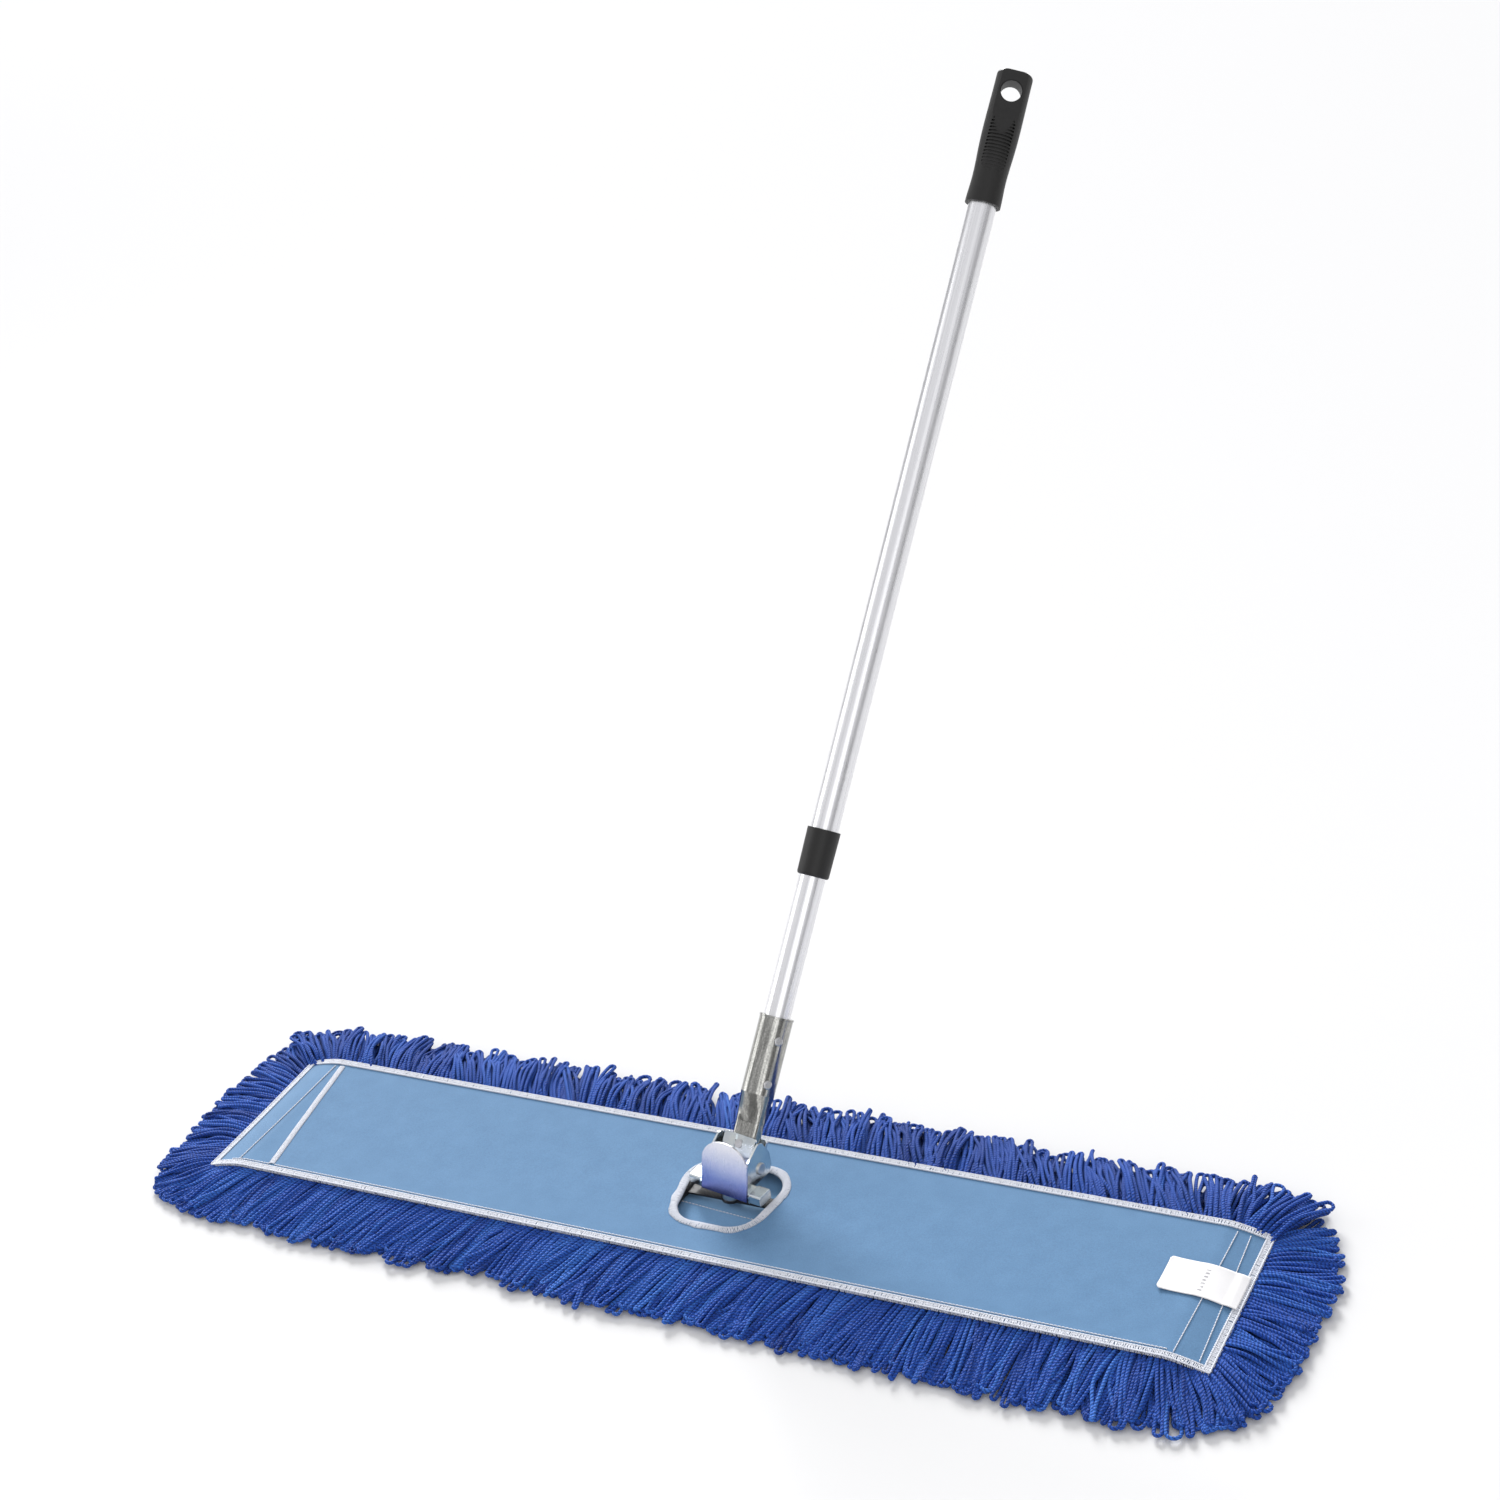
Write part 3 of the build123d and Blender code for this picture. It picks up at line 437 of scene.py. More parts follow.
def add_tubes(name, paths, radius, sides, material, tint=None):
    """Piece of closed tubes, with a map along each strand and, where given, each strand's tint."""
    points, faces, uv, owner = tubes(paths, radius, sides)
    mesh = bpy.data.meshes.new(name)
    mesh.from_pydata((points * MM).tolist(), [], faces)
    layer = mesh.uv_layers.new(name="strand")
    layer.data.foreach_set("uv", uv.astype(np.float32).ravel())
    if tint is not None:
        attribute = mesh.attributes.new("tint", "FLOAT", "POINT")
        attribute.data.foreach_set("value", np.asarray(tint, np.float32)[owner])
    return new_piece(name, mesh, material)


def smooth_noise(at, seed, period):
    """Smooth noise from -1 to 1 along a line, in steps of period."""
    own = np.random.default_rng(seed)
    values = own.uniform(-1, 1, 4096)
    x = np.asarray(at, float) / period + 1000.0
    low = np.floor(x).astype(int)
    t = x - low
    t = t * t * (3 - 2 * t)
    return values[low % 4096] * (1 - t) + values[(low + 1) % 4096] * t


# ---------------------------------------------------------------- cloth

def cloth_height(x, y):
    """Top of the upper cloth in millimetres, over the whole head."""
    x, y = np.asarray(x, float), np.asarray(y, float)
    beyond = np.clip((np.abs(x) - DROOP_START) / (CLOTH_HALF_X - DROOP_START), 0, 1.1)
    drop = DROOP * (beyond ** 1.4)
    ripple = 0.45 * smooth_noise(x + 0.6 * y, 3, 70) + 0.3 * smooth_noise(y - 0.3 * x, 4, 45)
    edge = np.clip((CLOTH_HALF_Y - np.abs(y)) / 14, 0, 1)
    belly = -0.5 * np.cos(np.clip(y / CLOTH_HALF_Y, -1, 1) * pi / 2)
    return CLOTH_TOP - 0.3 - drop + edge * (0.5 * ripple + belly)


def opening_outline(count=220):
    """Points round the opening, a trapezoid with rounded corners, and their outward normals."""
    o = OPENING
    corners = [
        np.array([o["x"] + o["far_half"], o["far_y"]]),
        np.array([o["x"] - o["far_half"], o["far_y"]]),
        np.array([o["x"] - o["near_half"], o["near_y"]]),
        np.array([o["x"] + o["near_half"], o["near_y"]]),
    ]
    line = []
    for i in range(4):
        before, here, after = corners[i - 1], corners[i], corners[(i + 1) % 4]
        to_before = (before - here) / np.linalg.norm(before - here)
        to_after = (after - here) / np.linalg.norm(after - here)
        half = np.arccos(np.clip(to_before @ to_after, -1, 1)) / 2
        middle = here + (to_before + to_after) / np.linalg.norm(to_before + to_after) * o["round"] / sin(half)
        first = here + to_before * o["round"] / np.tan(half) - middle
        last = here + to_after * o["round"] / np.tan(half) - middle
        a0, a1 = atan2(first[1], first[0]), atan2(last[1], last[0])
        if a1 < a0:
            a1 += tau
        for a in np.linspace(a0, a1, 24):
            line.append(middle + o["round"] * np.array([cos(a), sin(a)]))
    line = np.array(line)
    closed = np.vstack([line, line[:1]])
    steps = np.linalg.norm(np.diff(closed, axis=0), axis=1)
    at = np.concatenate([[0], np.cumsum(steps)])
    want = np.linspace(0, at[-1], count, endpoint=False)
    points = np.stack([np.interp(want, at, closed[:, i]) for i in (0, 1)], axis=1)
    ahead = np.roll(points, -1, axis=0) - np.roll(points, 1, axis=0)
    ahead /= np.linalg.norm(ahead, axis=1, keepdims=True)
    normal = np.stack([ahead[:, 1], -ahead[:, 0]], axis=1)
    return points, normal


def inside_opening(x, y):
    line, _ = opening_outline()
    turning = np.zeros(np.shape(x), bool)
    for (x0, y0), (x1, y1) in zip(line, np.roll(line, -1, axis=0)):
        crosses = (y0 > y) != (y1 > y)
        with np.errstate(divide="ignore", invalid="ignore"):
            at = (x1 - x0) * (y - y0) / (y1 - y0) + x0
        turning ^= crosses & (x < at)
    return turning


def slot_x(y):
    """X of the slanted slot at a given Y."""
    t = (np.asarray(y, float) - SLOT_NEAR[1]) / (SLOT_FAR[1] - SLOT_NEAR[1])
    return SLOT_NEAR[0] + t * (SLOT_FAR[0] - SLOT_NEAR[0])


def make_upper_cloth():
    """Cloth from the slot to the right end. The grid's points beside the opening are drawn to its outline."""
    share, y = np.meshgrid(
        np.linspace(0, 1, 310), np.linspace(-CLOTH_HALF_Y, CLOTH_HALF_Y, 57), indexing="ij"
    )
    left = slot_x(y) + 0.5
    x = left + share * (CLOTH_HALF_X - left)
    cells = grid_cells(*x.shape)
    flat = np.stack([x.ravel(), y.ravel()], axis=1)
    middles = flat[cells].mean(axis=1)
    kept = ~inside_opening(middles[:, 0], middles[:, 1])
    rim = sorted(set(cells[~kept].ravel().tolist()) & set(cells[kept].ravel().tolist()))
    line, _ = opening_outline(count=900)
    for i in rim:
        flat[i] = line[np.argmin(np.linalg.norm(line - flat[i], axis=1))]
    cells = cells[kept]
    used = np.unique(cells)
    renumber = np.full(len(flat), -1)
    renumber[used] = np.arange(len(used))
    flat = flat[used]
    points = np.column_stack([flat, cloth_height(flat[:, 0], flat[:, 1])])
    piece = add_cloth("upper_cloth", points, renumber[cells], CLOTH_T, CLOTH)
    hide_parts("backing_upper")
    return piece


def grid_cloth(name, xs, ys, height, material, right_edge=None):
    """Cloth on a grid. right_edge gives its limit on the right at each Y, where it isn't straight."""
    gx, gy = np.meshgrid(xs, ys, indexing="ij")
    if right_edge is not None:
        gx = xs[0] + (right_edge(gy) - xs[0]) * ((gx - xs[0]) / (xs[-1] - xs[0]))
    points = np.column_stack([gx.ravel(), gy.ravel(), height(gx, gy).ravel()])
    return add_cloth(name, points, grid_cells(*gx.shape), 1.0, material)


def make_pocket_panel():
    """End panel whose free edge tucks under the slot's seam."""
    def height(x, y):
        return cloth_height(x, y) - 0.5 * np.clip((x + 470) / 30, 0, 1)

    xs, ys = np.linspace(-CLOTH_HALF_X, -430, 22), np.linspace(-CLOTH_HALF_Y, CLOTH_HALF_Y, 57)
    piece = grid_cloth("pocket_panel_cloth", xs, ys, height, CLOTH, right_edge=lambda y: slot_x(y) + 0.2)
    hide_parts("pocket_panel")
    return piece


def lower_height(x, y):
    """Top of the lower cloth in millimetres."""
    dip = 0.4 * smooth_noise(x + y, 8, 40) + 0.3 * smooth_noise(x - y, 9, 25)
    return LOWER_TOP - 0.4 + 0.5 * dip


def make_lower_cloth():
    xs, ys = np.linspace(-481, 481, 161), np.linspace(-75, 75, 31)
    piece = grid_cloth("lower_cloth", xs, ys, lower_height, LOWER_CLOTH_LIT)
    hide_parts("backing_lower")
    return piece


def make_label():
    """Label with rounded left corners that curls up a little and runs over the end seam."""
    gx, gv = np.meshgrid(np.linspace(*LABEL_X, 49), np.linspace(-1, 1, 25), indexing="ij")
    from_left = np.clip(gx - LABEL_X[0], 0, LABEL_CORNER_R)
    trim = LABEL_CORNER_R - np.sqrt(LABEL_CORNER_R ** 2 - (LABEL_CORNER_R - from_left) ** 2)
    gy = LABEL_Y + gv * (LABEL_HALF_Y - trim)
    curl = 1.3 * np.clip((436 - gx) / 15, 0, 1) ** 2 + 0.7 * np.abs(gv) ** 3
    over_seam = 1.25 * np.clip((gx - 476) / 6, 0, 1)
    wave = 0.35 * np.sin(gx / 9.0) * np.clip((gx - 430) / 20, 0, 1)
    gz = cloth_height(gx, gy) + 0.85 + curl + over_seam + wave
    points = np.column_stack([gx.ravel(), gy.ravel(), gz.ravel()])
    piece = add_cloth("label_sheet", points, grid_cells(*gx.shape), 0.35, LABEL)
    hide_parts("label")
    return piece


# ---------------------------------------------------------------- seams

def stitches(points, normal, profile, spread):
    """One stitch at each point: profile is (distance out, rise above the cloth) along it."""
    rows = []
    for out, rise in profile:
        at = points + normal * out
        inner = points + normal * min(out, -0.5)
        rows.append(np.column_stack([at, cloth_height(inner[:, 0], inner[:, 1]) + rise]))
    paths = np.stack(rows, axis=1)
    along = np.stack([-normal[:, 1], normal[:, 0], np.zeros(len(normal))], axis=1)
    lean = rng.normal(0, spread, (len(points), len(profile), 1))
    return paths + along[:, None, :] * lean


def rectangle_line(half_x, half_y, pitch):
    """Points and outward normals round a rectangle."""
    points, normals = [], []
    sides = [
        ((-half_x, -half_y), (half_x, -half_y), (0, -1)),
        ((half_x, -half_y), (half_x, half_y), (1, 0)),
        ((half_x, half_y), (-half_x, half_y), (0, 1)),
        ((-half_x, half_y), (-half_x, -half_y), (-1, 0)),
    ]
    for start, end, normal in sides:
        start, end = np.array(start, float), np.array(end, float)
        count = int(np.linalg.norm(end - start) / pitch)
        for i in range(count):
            points.append(start + (end - start) * (i + 0.5) / count)
            normals.append(normal)
    return np.array(points), np.array(normals, float)


def make_edge_seam():
    """Overlock round the cloth: pairs of threads across the edge, and a chain along its inner side."""
    crossings = []
    points, normal = rectangle_line(CLOTH_HALF_X, CLOTH_HALF_Y, 2.5)
    along = np.stack([-normal[:, 1], normal[:, 0]], axis=1)
    profile = [
        (-SEAM_WIDTH, 0.1), (-4.0, 0.55), (-2.4, 0.75), (-0.8, 0.75), (0.6, 0.3), (1.0, -0.8), (0.5, -2.0),
    ]
    for shift in (-0.6, 0.6):
        at = points + along * (shift + rng.normal(0, 0.2, (len(points), 1)))
        crossings.append(stitches(at, normal, profile, 0.2))
    chains = []
    for inset, lift in ((-SEAM_WIDTH + 0.1, 0.45), (0.4, 0.5)):
        chains.append(chain_paths(points + normal * inset, normal, lift, inset))
    piece = add_tubes("edge_stitches", np.concatenate(crossings), 0.56, 6, THREAD)
    rails = add_tubes("edge_chain", np.concatenate(chains), 0.62, 6, THREAD)
    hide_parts("edge_seam")
    return piece, rails


def chain_paths(points, normal, lift, inset):
    """Short slanted links along a seam, one for each point."""
    along = np.stack([-normal[:, 1], normal[:, 0]], axis=1)
    keys = [(-2.0, -0.25, 0.0), (-1.0, 0.3, 0.35), (0.4, 0.35, 0.45), (1.4, -0.1, 0.3), (2.1, -0.3, 0.0)]
    rows = []
    for ahead, out, rise in keys:
        at = points + along * ahead + normal * out
        ref = at - normal * max(inset + 1.0, 0.0)
        z = cloth_height(np.clip(ref[:, 0], -489, 489), np.clip(ref[:, 1], -83, 83)) + lift + rise
        rows.append(np.column_stack([at, z]))
    return np.stack(rows, axis=1)


def make_opening_seam():
    """Dense satin overlock round the opening."""
    points, normal = opening_outline(count=OPENING_STITCHES)
    profile = [(-0.9, -1.2), (-0.6, 0.3), (0.5, 0.8), (2.3, 0.9), (4.1, 0.65), (5.0, 0.1)]
    width = 1.25 + 0.2 * smooth_noise(np.arange(OPENING_STITCHES) * 4.0, 21, 30)
    rows = []
    for out, rise in profile:
        at = points + normal * (out * width)[:, None]
        ref = points + normal * max(out, 0.5)
        rows.append(np.column_stack([at, cloth_height(ref[:, 0], ref[:, 1]) + rise]))
    paths = np.stack(rows, axis=1)
    along = np.stack([-normal[:, 1], normal[:, 0], np.zeros(OPENING_STITCHES)], axis=1)
    paths += along[:, None, :] * rng.normal(0, 0.2, (OPENING_STITCHES, len(profile), 1))
    piece = add_tubes("opening_stitches", paths, 0.6, 6, THREAD)
    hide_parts("opening_seam")
    return piece


def make_slot_seam():
    """Dense overlock along the slanted slot at the left end."""
    count = 120
    t = (np.arange(count) + 0.5) / count
    y = -75.5 + 151 * t
    points = np.column_stack([slot_x(y), y])
    direction = (SLOT_FAR - SLOT_NEAR) / np.linalg.norm(SLOT_FAR - SLOT_NEAR)
    normal = np.tile([direction[1], -direction[0]], (count, 1))
    profile = [(-0.6, -0.6), (-0.3, 0.4), (0.8, 0.85), (2.4, 0.9), (4.4, 0.5), (5.2, 0.0)]
    rows = []
    for out, rise in profile:
        at = points + normal * out
        rows.append(np.column_stack([at, cloth_height(at[:, 0], at[:, 1]) + rise]))
    paths = np.stack(rows, axis=1)
    paths[:, :, 1] += rng.normal(0, 0.15, paths.shape[:2])
    paths[:, :, 0] += (0.7 * smooth_noise(y, 23, 22))[:, None]
    piece = add_tubes("slot_stitches", paths, 0.62, 6, THREAD)
    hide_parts("slot_seam")
    return piece


def running_stitch(start, end, pitch, gap, height=cloth_height, lift=0.25):
    """Dashes of a straight stitch between two points on the cloth."""
    start, end = np.array(start, float), np.array(end, float)
    length = np.linalg.norm(end - start)
    count = int(length / pitch)
    direction = (end - start) / length
    paths = []
    for i in range(count):
        middle = start + direction * (i + 0.5) * pitch
        keys = []
        for t, rise in ((-0.5, -0.35), (-0.35, 0.15), (0.0, 0.25), (0.35, 0.15), (0.5, -0.35)):
            at = middle + direction * t * (pitch - gap)
            keys.append([at[0], at[1], float(height(at[0], at[1])) + lift + rise])
        paths.append(keys)
    return np.array(paths)


def make_running_stitches():
    """Straight rows on the upper cloth, and one across the lower cloth in the opening."""
    rows = [
        ((-455, 76), (-461, -77)),
        ((462, 76), (459, -77)),
        ((473, 76), (480, -77)),
        ((-420, -75.6), (455, -75.6)),
        ((-470, -76.2), (-425, -75.7)),
    ]
    paths = [running_stitch(a, b, 3.4, 0.5) for a, b in rows]
    upper = add_tubes("straight_stitches", np.concatenate(paths), 0.5, 6, THREAD)
    row = running_stitch((-26, -6), (66, -13), 3.6, 1.5, lower_height, 0.3)
    lower = add_tubes("lower_stitches", row, 0.45, 6, THREAD)
    return upper, lower


# ---------------------------------------------------------------- yarn

def loop_paths(base, angle, reach, half_width, rise, drop_to, hump, sway):
    """Hairpin loops of yarn lying outwards from their base points.

    base (n, 2) and angle (n): where each starts and which way it lies. rise (n): height at the base,
    drop_to (n): height at the tip, hump (n): how far its middle stands above that line,
    sway (n, 2): how far its tip and its middle bend aside."""
    n = len(base)
    out = np.stack([np.cos(angle), np.sin(angle)], axis=1)
    across = np.stack([-out[:, 1], out[:, 0]], axis=1)
    t = np.linspace(0, 1, 15)
    turn = np.linspace(0, pi, 6)[1:-1]
    tip_r = half_width * rng.uniform(0.75, 1.35, n)
    rows = []

    def place(distance, side, share):
        bend = sway[:, 0] * share ** 2 + sway[:, 1] * np.sin(share * pi)
        xy = base + out * distance[:, None] + across * (side + bend)[:, None]
        z = rise + (drop_to - rise) * share + hump * np.sin(share ** 0.8 * pi)
        rows.append(np.column_stack([xy, z]))

    legs_in = reach - tip_r
    for share in t:
        place(legs_in * share - 3.0 * (1 - share), half_width + (tip_r - half_width) * share ** 2, share)
    for a in turn:
        place(legs_in + tip_r * np.sin(a), tip_r * np.cos(a), 1.0)
    for share in t[::-1]:
        place(legs_in * share - 3.0 * (1 - share), -half_width - (tip_r - half_width) * share ** 2, share)
    paths = np.stack(rows, axis=1)
    wander = rng.normal(0, 1.0, (n, 3, 1))
    ring = np.arange(paths.shape[1]) / paths.shape[1]
    wave = wander[:, 0] * np.sin(ring * 9.0) + wander[:, 1] * np.sin(ring * 17.0 + 1)
    taper = np.sin(ring * pi)
    paths[:, :, :2] += across[:, None, :] * (0.95 * wave * taper)[:, :, None]
    paths[:, :, 2] += 0.6 * wander[:, 2] * np.sin(ring * 13.0) * taper
    paths[:, :, 2] = np.maximum(paths[:, :, 2], STRAND_R + 0.1)
    return paths


def side_layout(side, pitch):
    """Base points, outward angles and run along the edge of one side's loops. Near a corner they fan out."""
    long_side = side in ("near", "far")
    sign = 1 if side in ("far", "right") else -1
    half_run = CLOTH_HALF_X if long_side else CLOTH_HALF_Y
    half_out = CLOTH_HALF_Y if long_side else CLOTH_HALF_X
    run = [-half_run + 2.0]
    while run[-1] < half_run - 2.0:
        crowd = np.clip((FAN_ZONE - (half_run - abs(run[-1]))) / FAN_ZONE, 0, 1)
        run.append(run[-1] + pitch * (1 - 0.45 * crowd))
    run = np.array(run[:-1])
    to_corner = np.clip(1 - (half_run - np.abs(run)) / FAN_ZONE, 0, 1)
    fan = np.sign(run) * radians(45) * to_corner ** 1.3
    rounding = 4.0 * to_corner ** 4
    if long_side:
        base = np.stack([run, sign * (half_out - rounding)], axis=1)
        out = np.stack([np.sin(fan), sign * np.cos(fan)], axis=1)
    else:
        base = np.stack([sign * (half_out - rounding), run], axis=1)
        out = np.stack([sign * np.cos(fan), np.sin(fan)], axis=1)
    return base, np.arctan2(out[:, 1], out[:, 0]), run, to_corner


# lean: turn of the strands in radians; reach: mean length beyond the edge; corner: its change at the corners;
# tip and hump: heights; tint: change of shade; pieces: meshes, so that each is under the export's triangle limit
# painted shade: the negative tints of the far and left sides darken their yarn for the less light they get
SIDE_LOOKS = {
    "near": {"lean": -0.24, "reach": 64.0, "corner": -0.16, "tip": 3.5, "hump": 1.5, "seed": 31, "tint": 0.0,
             "pieces": 2},
    "far": {"lean": 0.44, "reach": 71.0, "corner": -0.06, "tip": 10.0, "hump": 6.0, "seed": 32, "tint": -0.18,
            "pieces": 2},
    "left": {"lean": 0.05, "reach": 64.0, "corner": -0.05, "tip": 5.0, "hump": 3.0, "seed": 33, "tint": -0.12,
             "pieces": 1},
    "right": {"lean": -0.12, "reach": 62.0, "corner": -0.1, "tip": 4.0, "hump": 3.0, "seed": 34, "tint": 0.0,
              "pieces": 1},
}

# pitch, share of the reach, depth of the base below the cloth, share of the tip's height and of the hump
LAYERS = [
    (6.6, 0.86, 12.5, 0.0, 0.0),
    (6.0, 0.93, 9.4, 0.3, 0.35),
    (5.2, 1.0, 6.4, 0.65, 0.7),
    (5.0, 0.96, 3.6, 1.0, 1.0),
]


def layer_loops(side, level):
    """Loops of one layer of one side, and their tints."""
    looks = SIDE_LOOKS[side]
    pitch, share, below, tip_share, hump_share = LAYERS[level]
    base, angle, run, to_corner = side_layout(side, pitch)
    n = len(run)
    seed = looks["seed"] + 10 * level
    base = base + rng.normal(0, 0.6, (n, 2))
    loose = 1 - 0.6 * to_corner
    turn = 0.22 * np.tanh((run - 180) / 150) if side == "near" else 0.0
    lean = looks["lean"] + turn + 0.2 * smooth_noise(run, seed, 24) + 0.1 * smooth_noise(run, seed + 4, 9)
    angle = angle + (lean + rng.normal(0, 0.06, n)) * loose
    uneven = 1 + 0.06 * smooth_noise(run, seed + 1, 30) + np.clip(rng.normal(0, 0.055, n), -0.12, 0.06)
    reach = looks["reach"] * share * uneven * (1 + looks["corner"] * to_corner ** 2)
    inner_x = np.clip(base[:, 0], -CLOTH_HALF_X + 3, CLOTH_HALF_X - 3)
    inner_y = np.clip(base[:, 1], -CLOTH_HALF_Y + 3, CLOTH_HALF_Y - 3)
    rise = np.maximum(cloth_height(inner_x, inner_y) - below, STRAND_R + 0.5)
    tip = STRAND_R + 0.3 + looks["tip"] * tip_share * rng.uniform(0.6, 1.35, n)
    hump = looks["hump"] * hump_share * rng.uniform(0.3, 1.7, n)
    bunch_at = BUNCH * (np.floor((run + 8 * smooth_noise(run, seed + 2, 28)) / BUNCH) + 0.5)
    bunch = (bunch_at - run) * 0.38 * loose
    sign = {"near": 1, "far": -1, "left": -1, "right": 1}[side]
    sway = np.column_stack([sign * bunch + rng.normal(0, 2.6, n), rng.normal(0, 2.2, n)])
    half_width = rng.uniform(1.6, 2.5, n) * (1 + 0.3 * to_corner) * np.where(rng.random(n) < 0.12, 1.8, 1.0)
    paths = loop_paths(base, angle, reach, half_width, rise, tip, hump, sway)
    tint = 0.56 + looks["tint"] + 0.2 * smooth_noise(run, seed + 3, 12) + rng.normal(0, 0.13, n)
    # the lower layers get darker tints: painted shade under the loops above them
    return paths, np.clip(tint - 0.12 * (3 - level), 0, 1)


def make_fringe(side):
    """Four layers of yarn loops along one side of the head, the lowest first."""
    layers = [layer_loops(side, level) for level in range(len(LAYERS))]
    count = SIDE_LOOKS[side]["pieces"]
    along = 0 if side in ("near", "far") else 1
    for part in range(count):
        paths, tints = [], []
        for layer_paths, layer_tints in layers:
            share = (layer_paths[:, 0, along] + CLOTH_HALF_X) / (2 * CLOTH_HALF_X)
            chosen = np.clip((share * count).astype(int), 0, count - 1) == part
            paths.append(layer_paths[chosen])
            tints.append(layer_tints[chosen])
        paths = np.concatenate(paths)
        radius = STRAND_R * rng.uniform(0.88, 1.06, (len(paths), 1)) * np.ones((1, paths.shape[1]))
        name = f"yarn_{side}" if count == 1 else f"yarn_{side}_{part + 1}"
        piece = add_tubes(name, paths, radius, 6, YARN, np.concatenate(tints))
        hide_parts(f"fringe_{side}")


def make_under_yarn():
    """Tufted loops on the underside of the head, row by row."""
    rows = []
    for row, y in enumerate(np.arange(-76, 77, TUFT_ROWS)):
        xs = np.arange(-485 + (row % 2) * 3.5, 486, TUFT_PITCH)
        n = len(xs)
        jitter = rng.normal(0, 1.0, (n, 2))
        side = rng.choice([-1.0, 1.0], n)
        keys = [(-2.0, -2.0, 8.4), (-2.2, 0.5, 5.0), (-2.4, 4.5, 2.6), (-1.6, 8.5, 2.3), (0.6, 10.0, 2.3),
                (2.4, 8.0, 2.4), (2.6, 4.0, 2.8), (2.4, 0.5, 5.2), (2.2, -2.0, 8.4)]
        path = np.zeros((n, len(keys), 3))
        for k, (dx, dy, z) in enumerate(keys):
            path[:, k, 0] = xs + dx + jitter[:, 0] * (z < 6)
            path[:, k, 1] = np.clip(y + dy * side + jitter[:, 1] * (z < 6), -CLOTH_HALF_Y, CLOTH_HALF_Y)
            path[:, k, 2] = z
        rows.append(path)
    paths = np.concatenate(rows)
    tint = np.clip(rng.normal(0.45, 0.15, len(paths)), 0, 1)
    piece = add_tubes("yarn_under", paths, STRAND_R, 5, YARN, tint)
    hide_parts("yarn_base")
    return piece


# ---------------------------------------------------------------- CAD nodes: finishes

FINISHES = {
    "frame_wire_left": WIRE, "frame_wire_right": WIRE, "cross_wire_left": WIRE, "cross_wire_right": WIRE,
    "centre_strap": WIRE, "swivel_washer": PIN_STEEL, "swivel_rivet": PIN_STEEL,
    "swivel_bar": ZINC, "clip_bracket": ZINC, "tilt_pin": PIN_STEEL, "lever_pin": PIN_STEEL,
    "clip_lever": LEVER, "lever_spring": SPRING_STEEL, "knuckle": ZINC, "swing_rivet": PIN_STEEL,
    "ferrule": GALVANISED, "ferrule_bush": BLACK_PLASTIC, "ferrule_screws": PIN_STEEL,
    "lower_tube": ALUMINIUM, "upper_tube": ALUMINIUM, "guide_plug": GREY_PLASTIC, "collet": GREY_PLASTIC,
    "lock_collar": BLACK_PLASTIC, "grip": BLACK_PLASTIC,
}


def finish_cad_nodes():
    for name, material in FINISHES.items():
        node = frame["nodes"][name]
        for material_slot in node.material_slots:
            material_slot.material = material


# ---------------------------------------------------------------- stage

def make_floor():
    mesh = bpy.data.meshes.new("floor")
    half = 60.0
    corners = [(-half, -half, 0), (half, -half, 0), (half, half, 0), (-half, half, 0)]
    mesh.from_pydata(corners, [], [(0, 1, 2, 3)])
    floor = bpy.data.objects.new("floor", mesh)
    bpy.context.scene.collection.objects.link(floor)
    s = Shader("floor_white", Base_Color=(0.69, 0.69, 0.69, 1), Roughness=0.9, Specular_IOR_Level=0.1)
    mesh.materials.append(s.material)


def add_area_light(name, place, aim, size, power):
    data = bpy.data.lights.new(name, "AREA")
    data.shape = "RECTANGLE"
    data.size, data.size_y = size
    data.energy = power
    light = bpy.data.objects.new(name, data)
    light.location = place
    direction = Vector(aim) - Vector(place)
    light.rotation_euler = direction.to_track_quat("-Z", "Y").to_euler()
    bpy.context.scene.collection.objects.link(light)


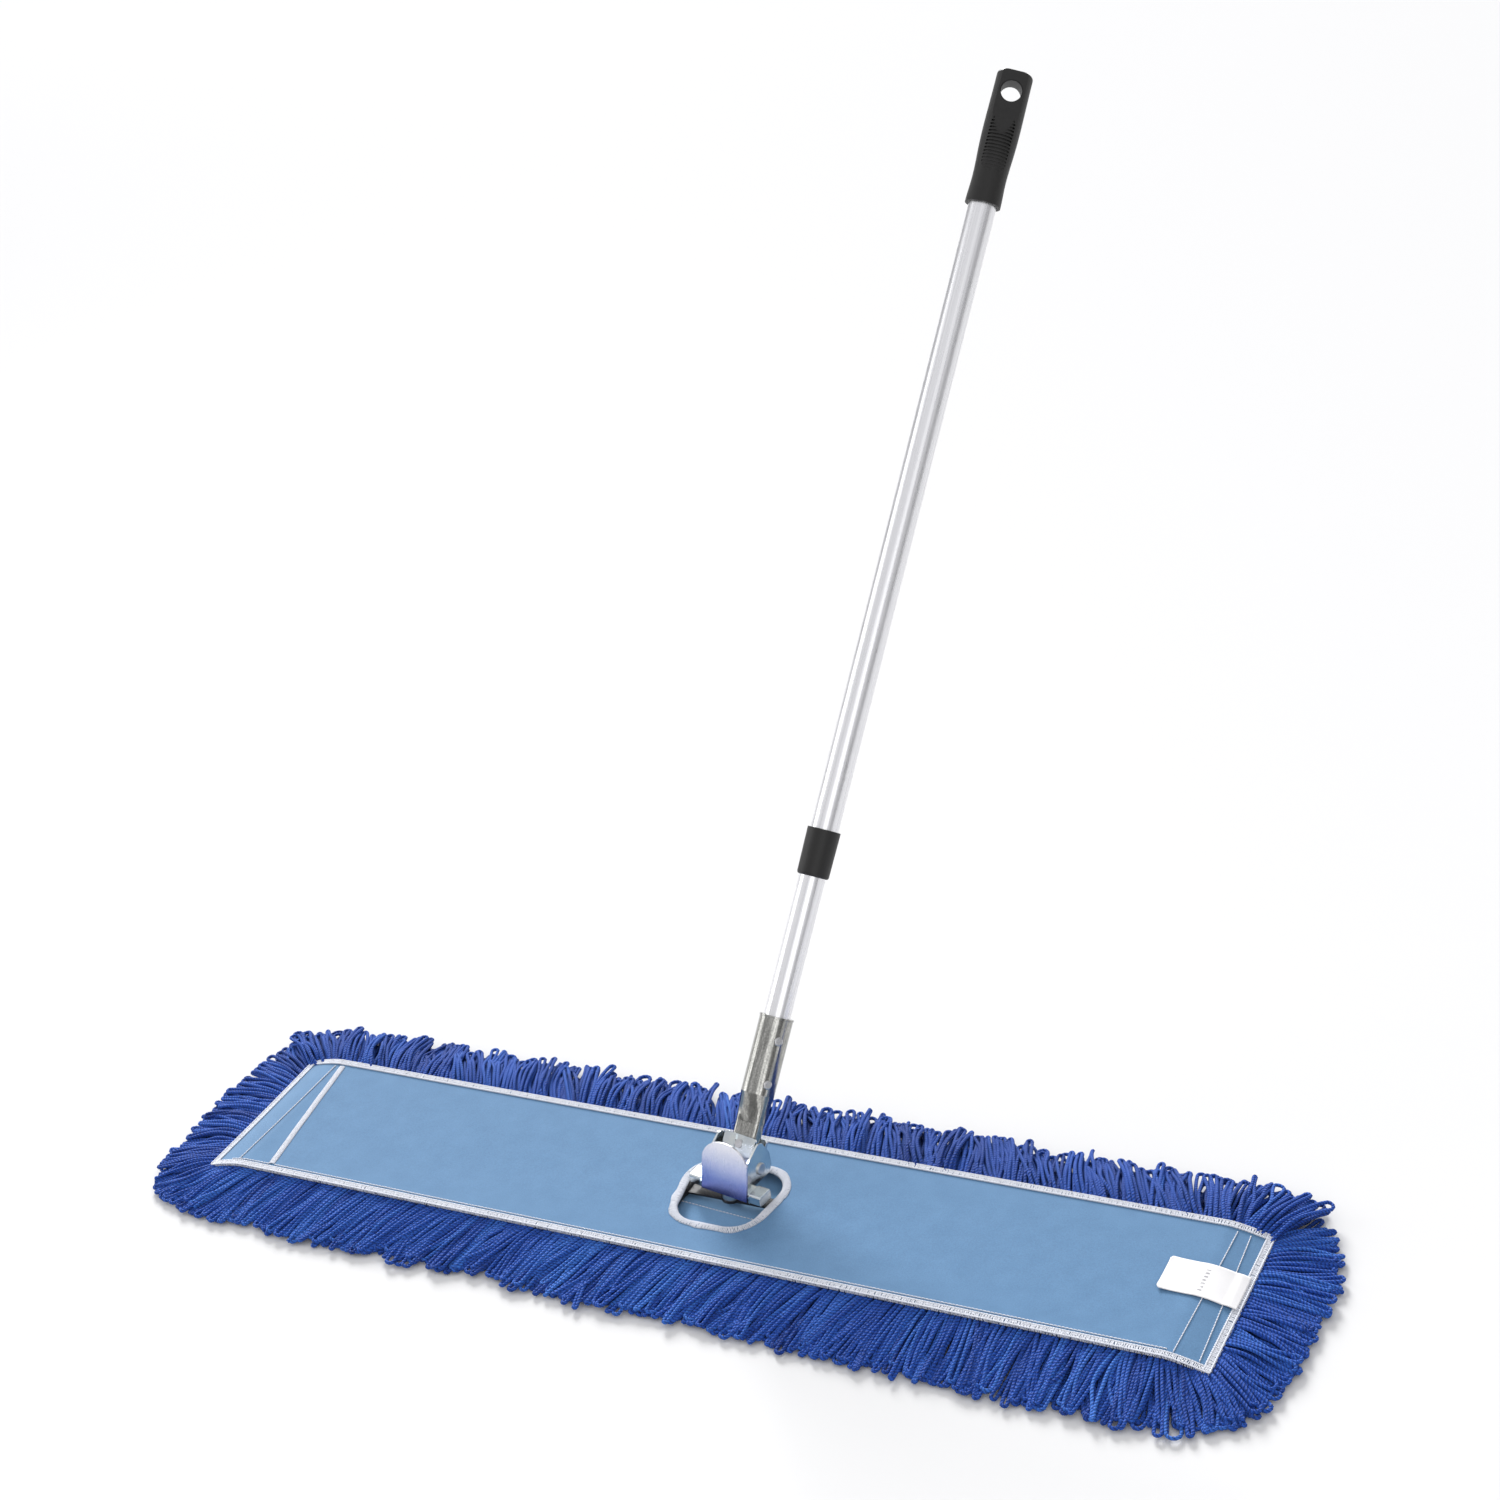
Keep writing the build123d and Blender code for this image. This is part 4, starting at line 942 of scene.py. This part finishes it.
def make_lights():
    """Soft studio: a bright dome that darkens towards the horizon, a wide soft sun and two large panels."""
    world = bpy.data.worlds.new("studio")
    bpy.context.scene.world = world
    world.use_nodes = True
    nodes, links = world.node_tree.nodes, world.node_tree.links
    direction = nodes.new("ShaderNodeTexCoord").outputs["Generated"]
    height = nodes.new("ShaderNodeSeparateXYZ")
    links.new(direction, height.inputs[0])
    ramp = nodes.new("ShaderNodeValToRGB")
    links.new(height.outputs[2], ramp.inputs[0])
    stops = [(0.0, 0.24), (0.12, 0.34), (0.32, 0.7), (0.6, 1.0)]
    while len(ramp.color_ramp.elements) < len(stops):
        ramp.color_ramp.elements.new(0.5)
    for element, (at, grey) in zip(ramp.color_ramp.elements, stops):
        element.position = at
        element.color = (grey, grey, grey * 1.02, 1)
    background = nodes["Background"]
    links.new(ramp.outputs[0], background.inputs["Color"])
    background.inputs["Strength"].default_value = 0.82
    sun = bpy.data.lights.new("key", "SUN")
    sun.energy = 4.4
    sun.angle = radians(22)
    key = bpy.data.objects.new("key", sun)
    key.rotation_euler = Vector((0.5, -0.74, -0.41)).to_track_quat("-Z", "Y").to_euler()
    bpy.context.scene.collection.objects.link(key)
    add_area_light("side", (-2.5, -0.4, 1.1), (0, 0.2, 0.4), (1.2, 2.2), 17)
    add_area_light("front", (1.7, -2.4, 1.3), (0, 0.2, 0.4), (1.8, 2.4), 17)


def make_camera():
    """The photograph's camera, fitted to the cloth's long edges and corners."""
    place = Vector((1.1002, -1.5634, 1.4637))
    heading, elevation, roll = -31.88, -28.04, 10.28
    data = bpy.data.cameras.new("camera")
    data.lens = 64.42
    data.sensor_width = 36.0
    camera = bpy.data.objects.new("camera", data)
    aim = Euler((radians(90 + elevation), 0, radians(-heading))).to_matrix()
    camera.rotation_euler = (aim @ Matrix.Rotation(radians(-roll), 3, "Z")).to_euler()
    camera.location = place
    bpy.context.scene.collection.objects.link(camera)
    bpy.context.scene.camera = camera


def declare_sheets():
    """Works out the opening's outline; nothing is done with it."""
    opening, _ = opening_outline()


bpy.context.scene.view_settings.view_transform = "Standard"
make_camera()
make_floor()
make_lights()
upper_cloth = make_upper_cloth()
pocket_cloth = make_pocket_panel()
lower_cloth = make_lower_cloth()
label_sheet = make_label()
edge_seam, edge_chain = make_edge_seam()
opening_seam = make_opening_seam()
slot_seam = make_slot_seam()
upper_rows, lower_rows = make_running_stitches()
declare_sheets()
for side_name in SIDE_LOOKS:
    make_fringe(side_name)
make_under_yarn()
finish_cad_nodes()
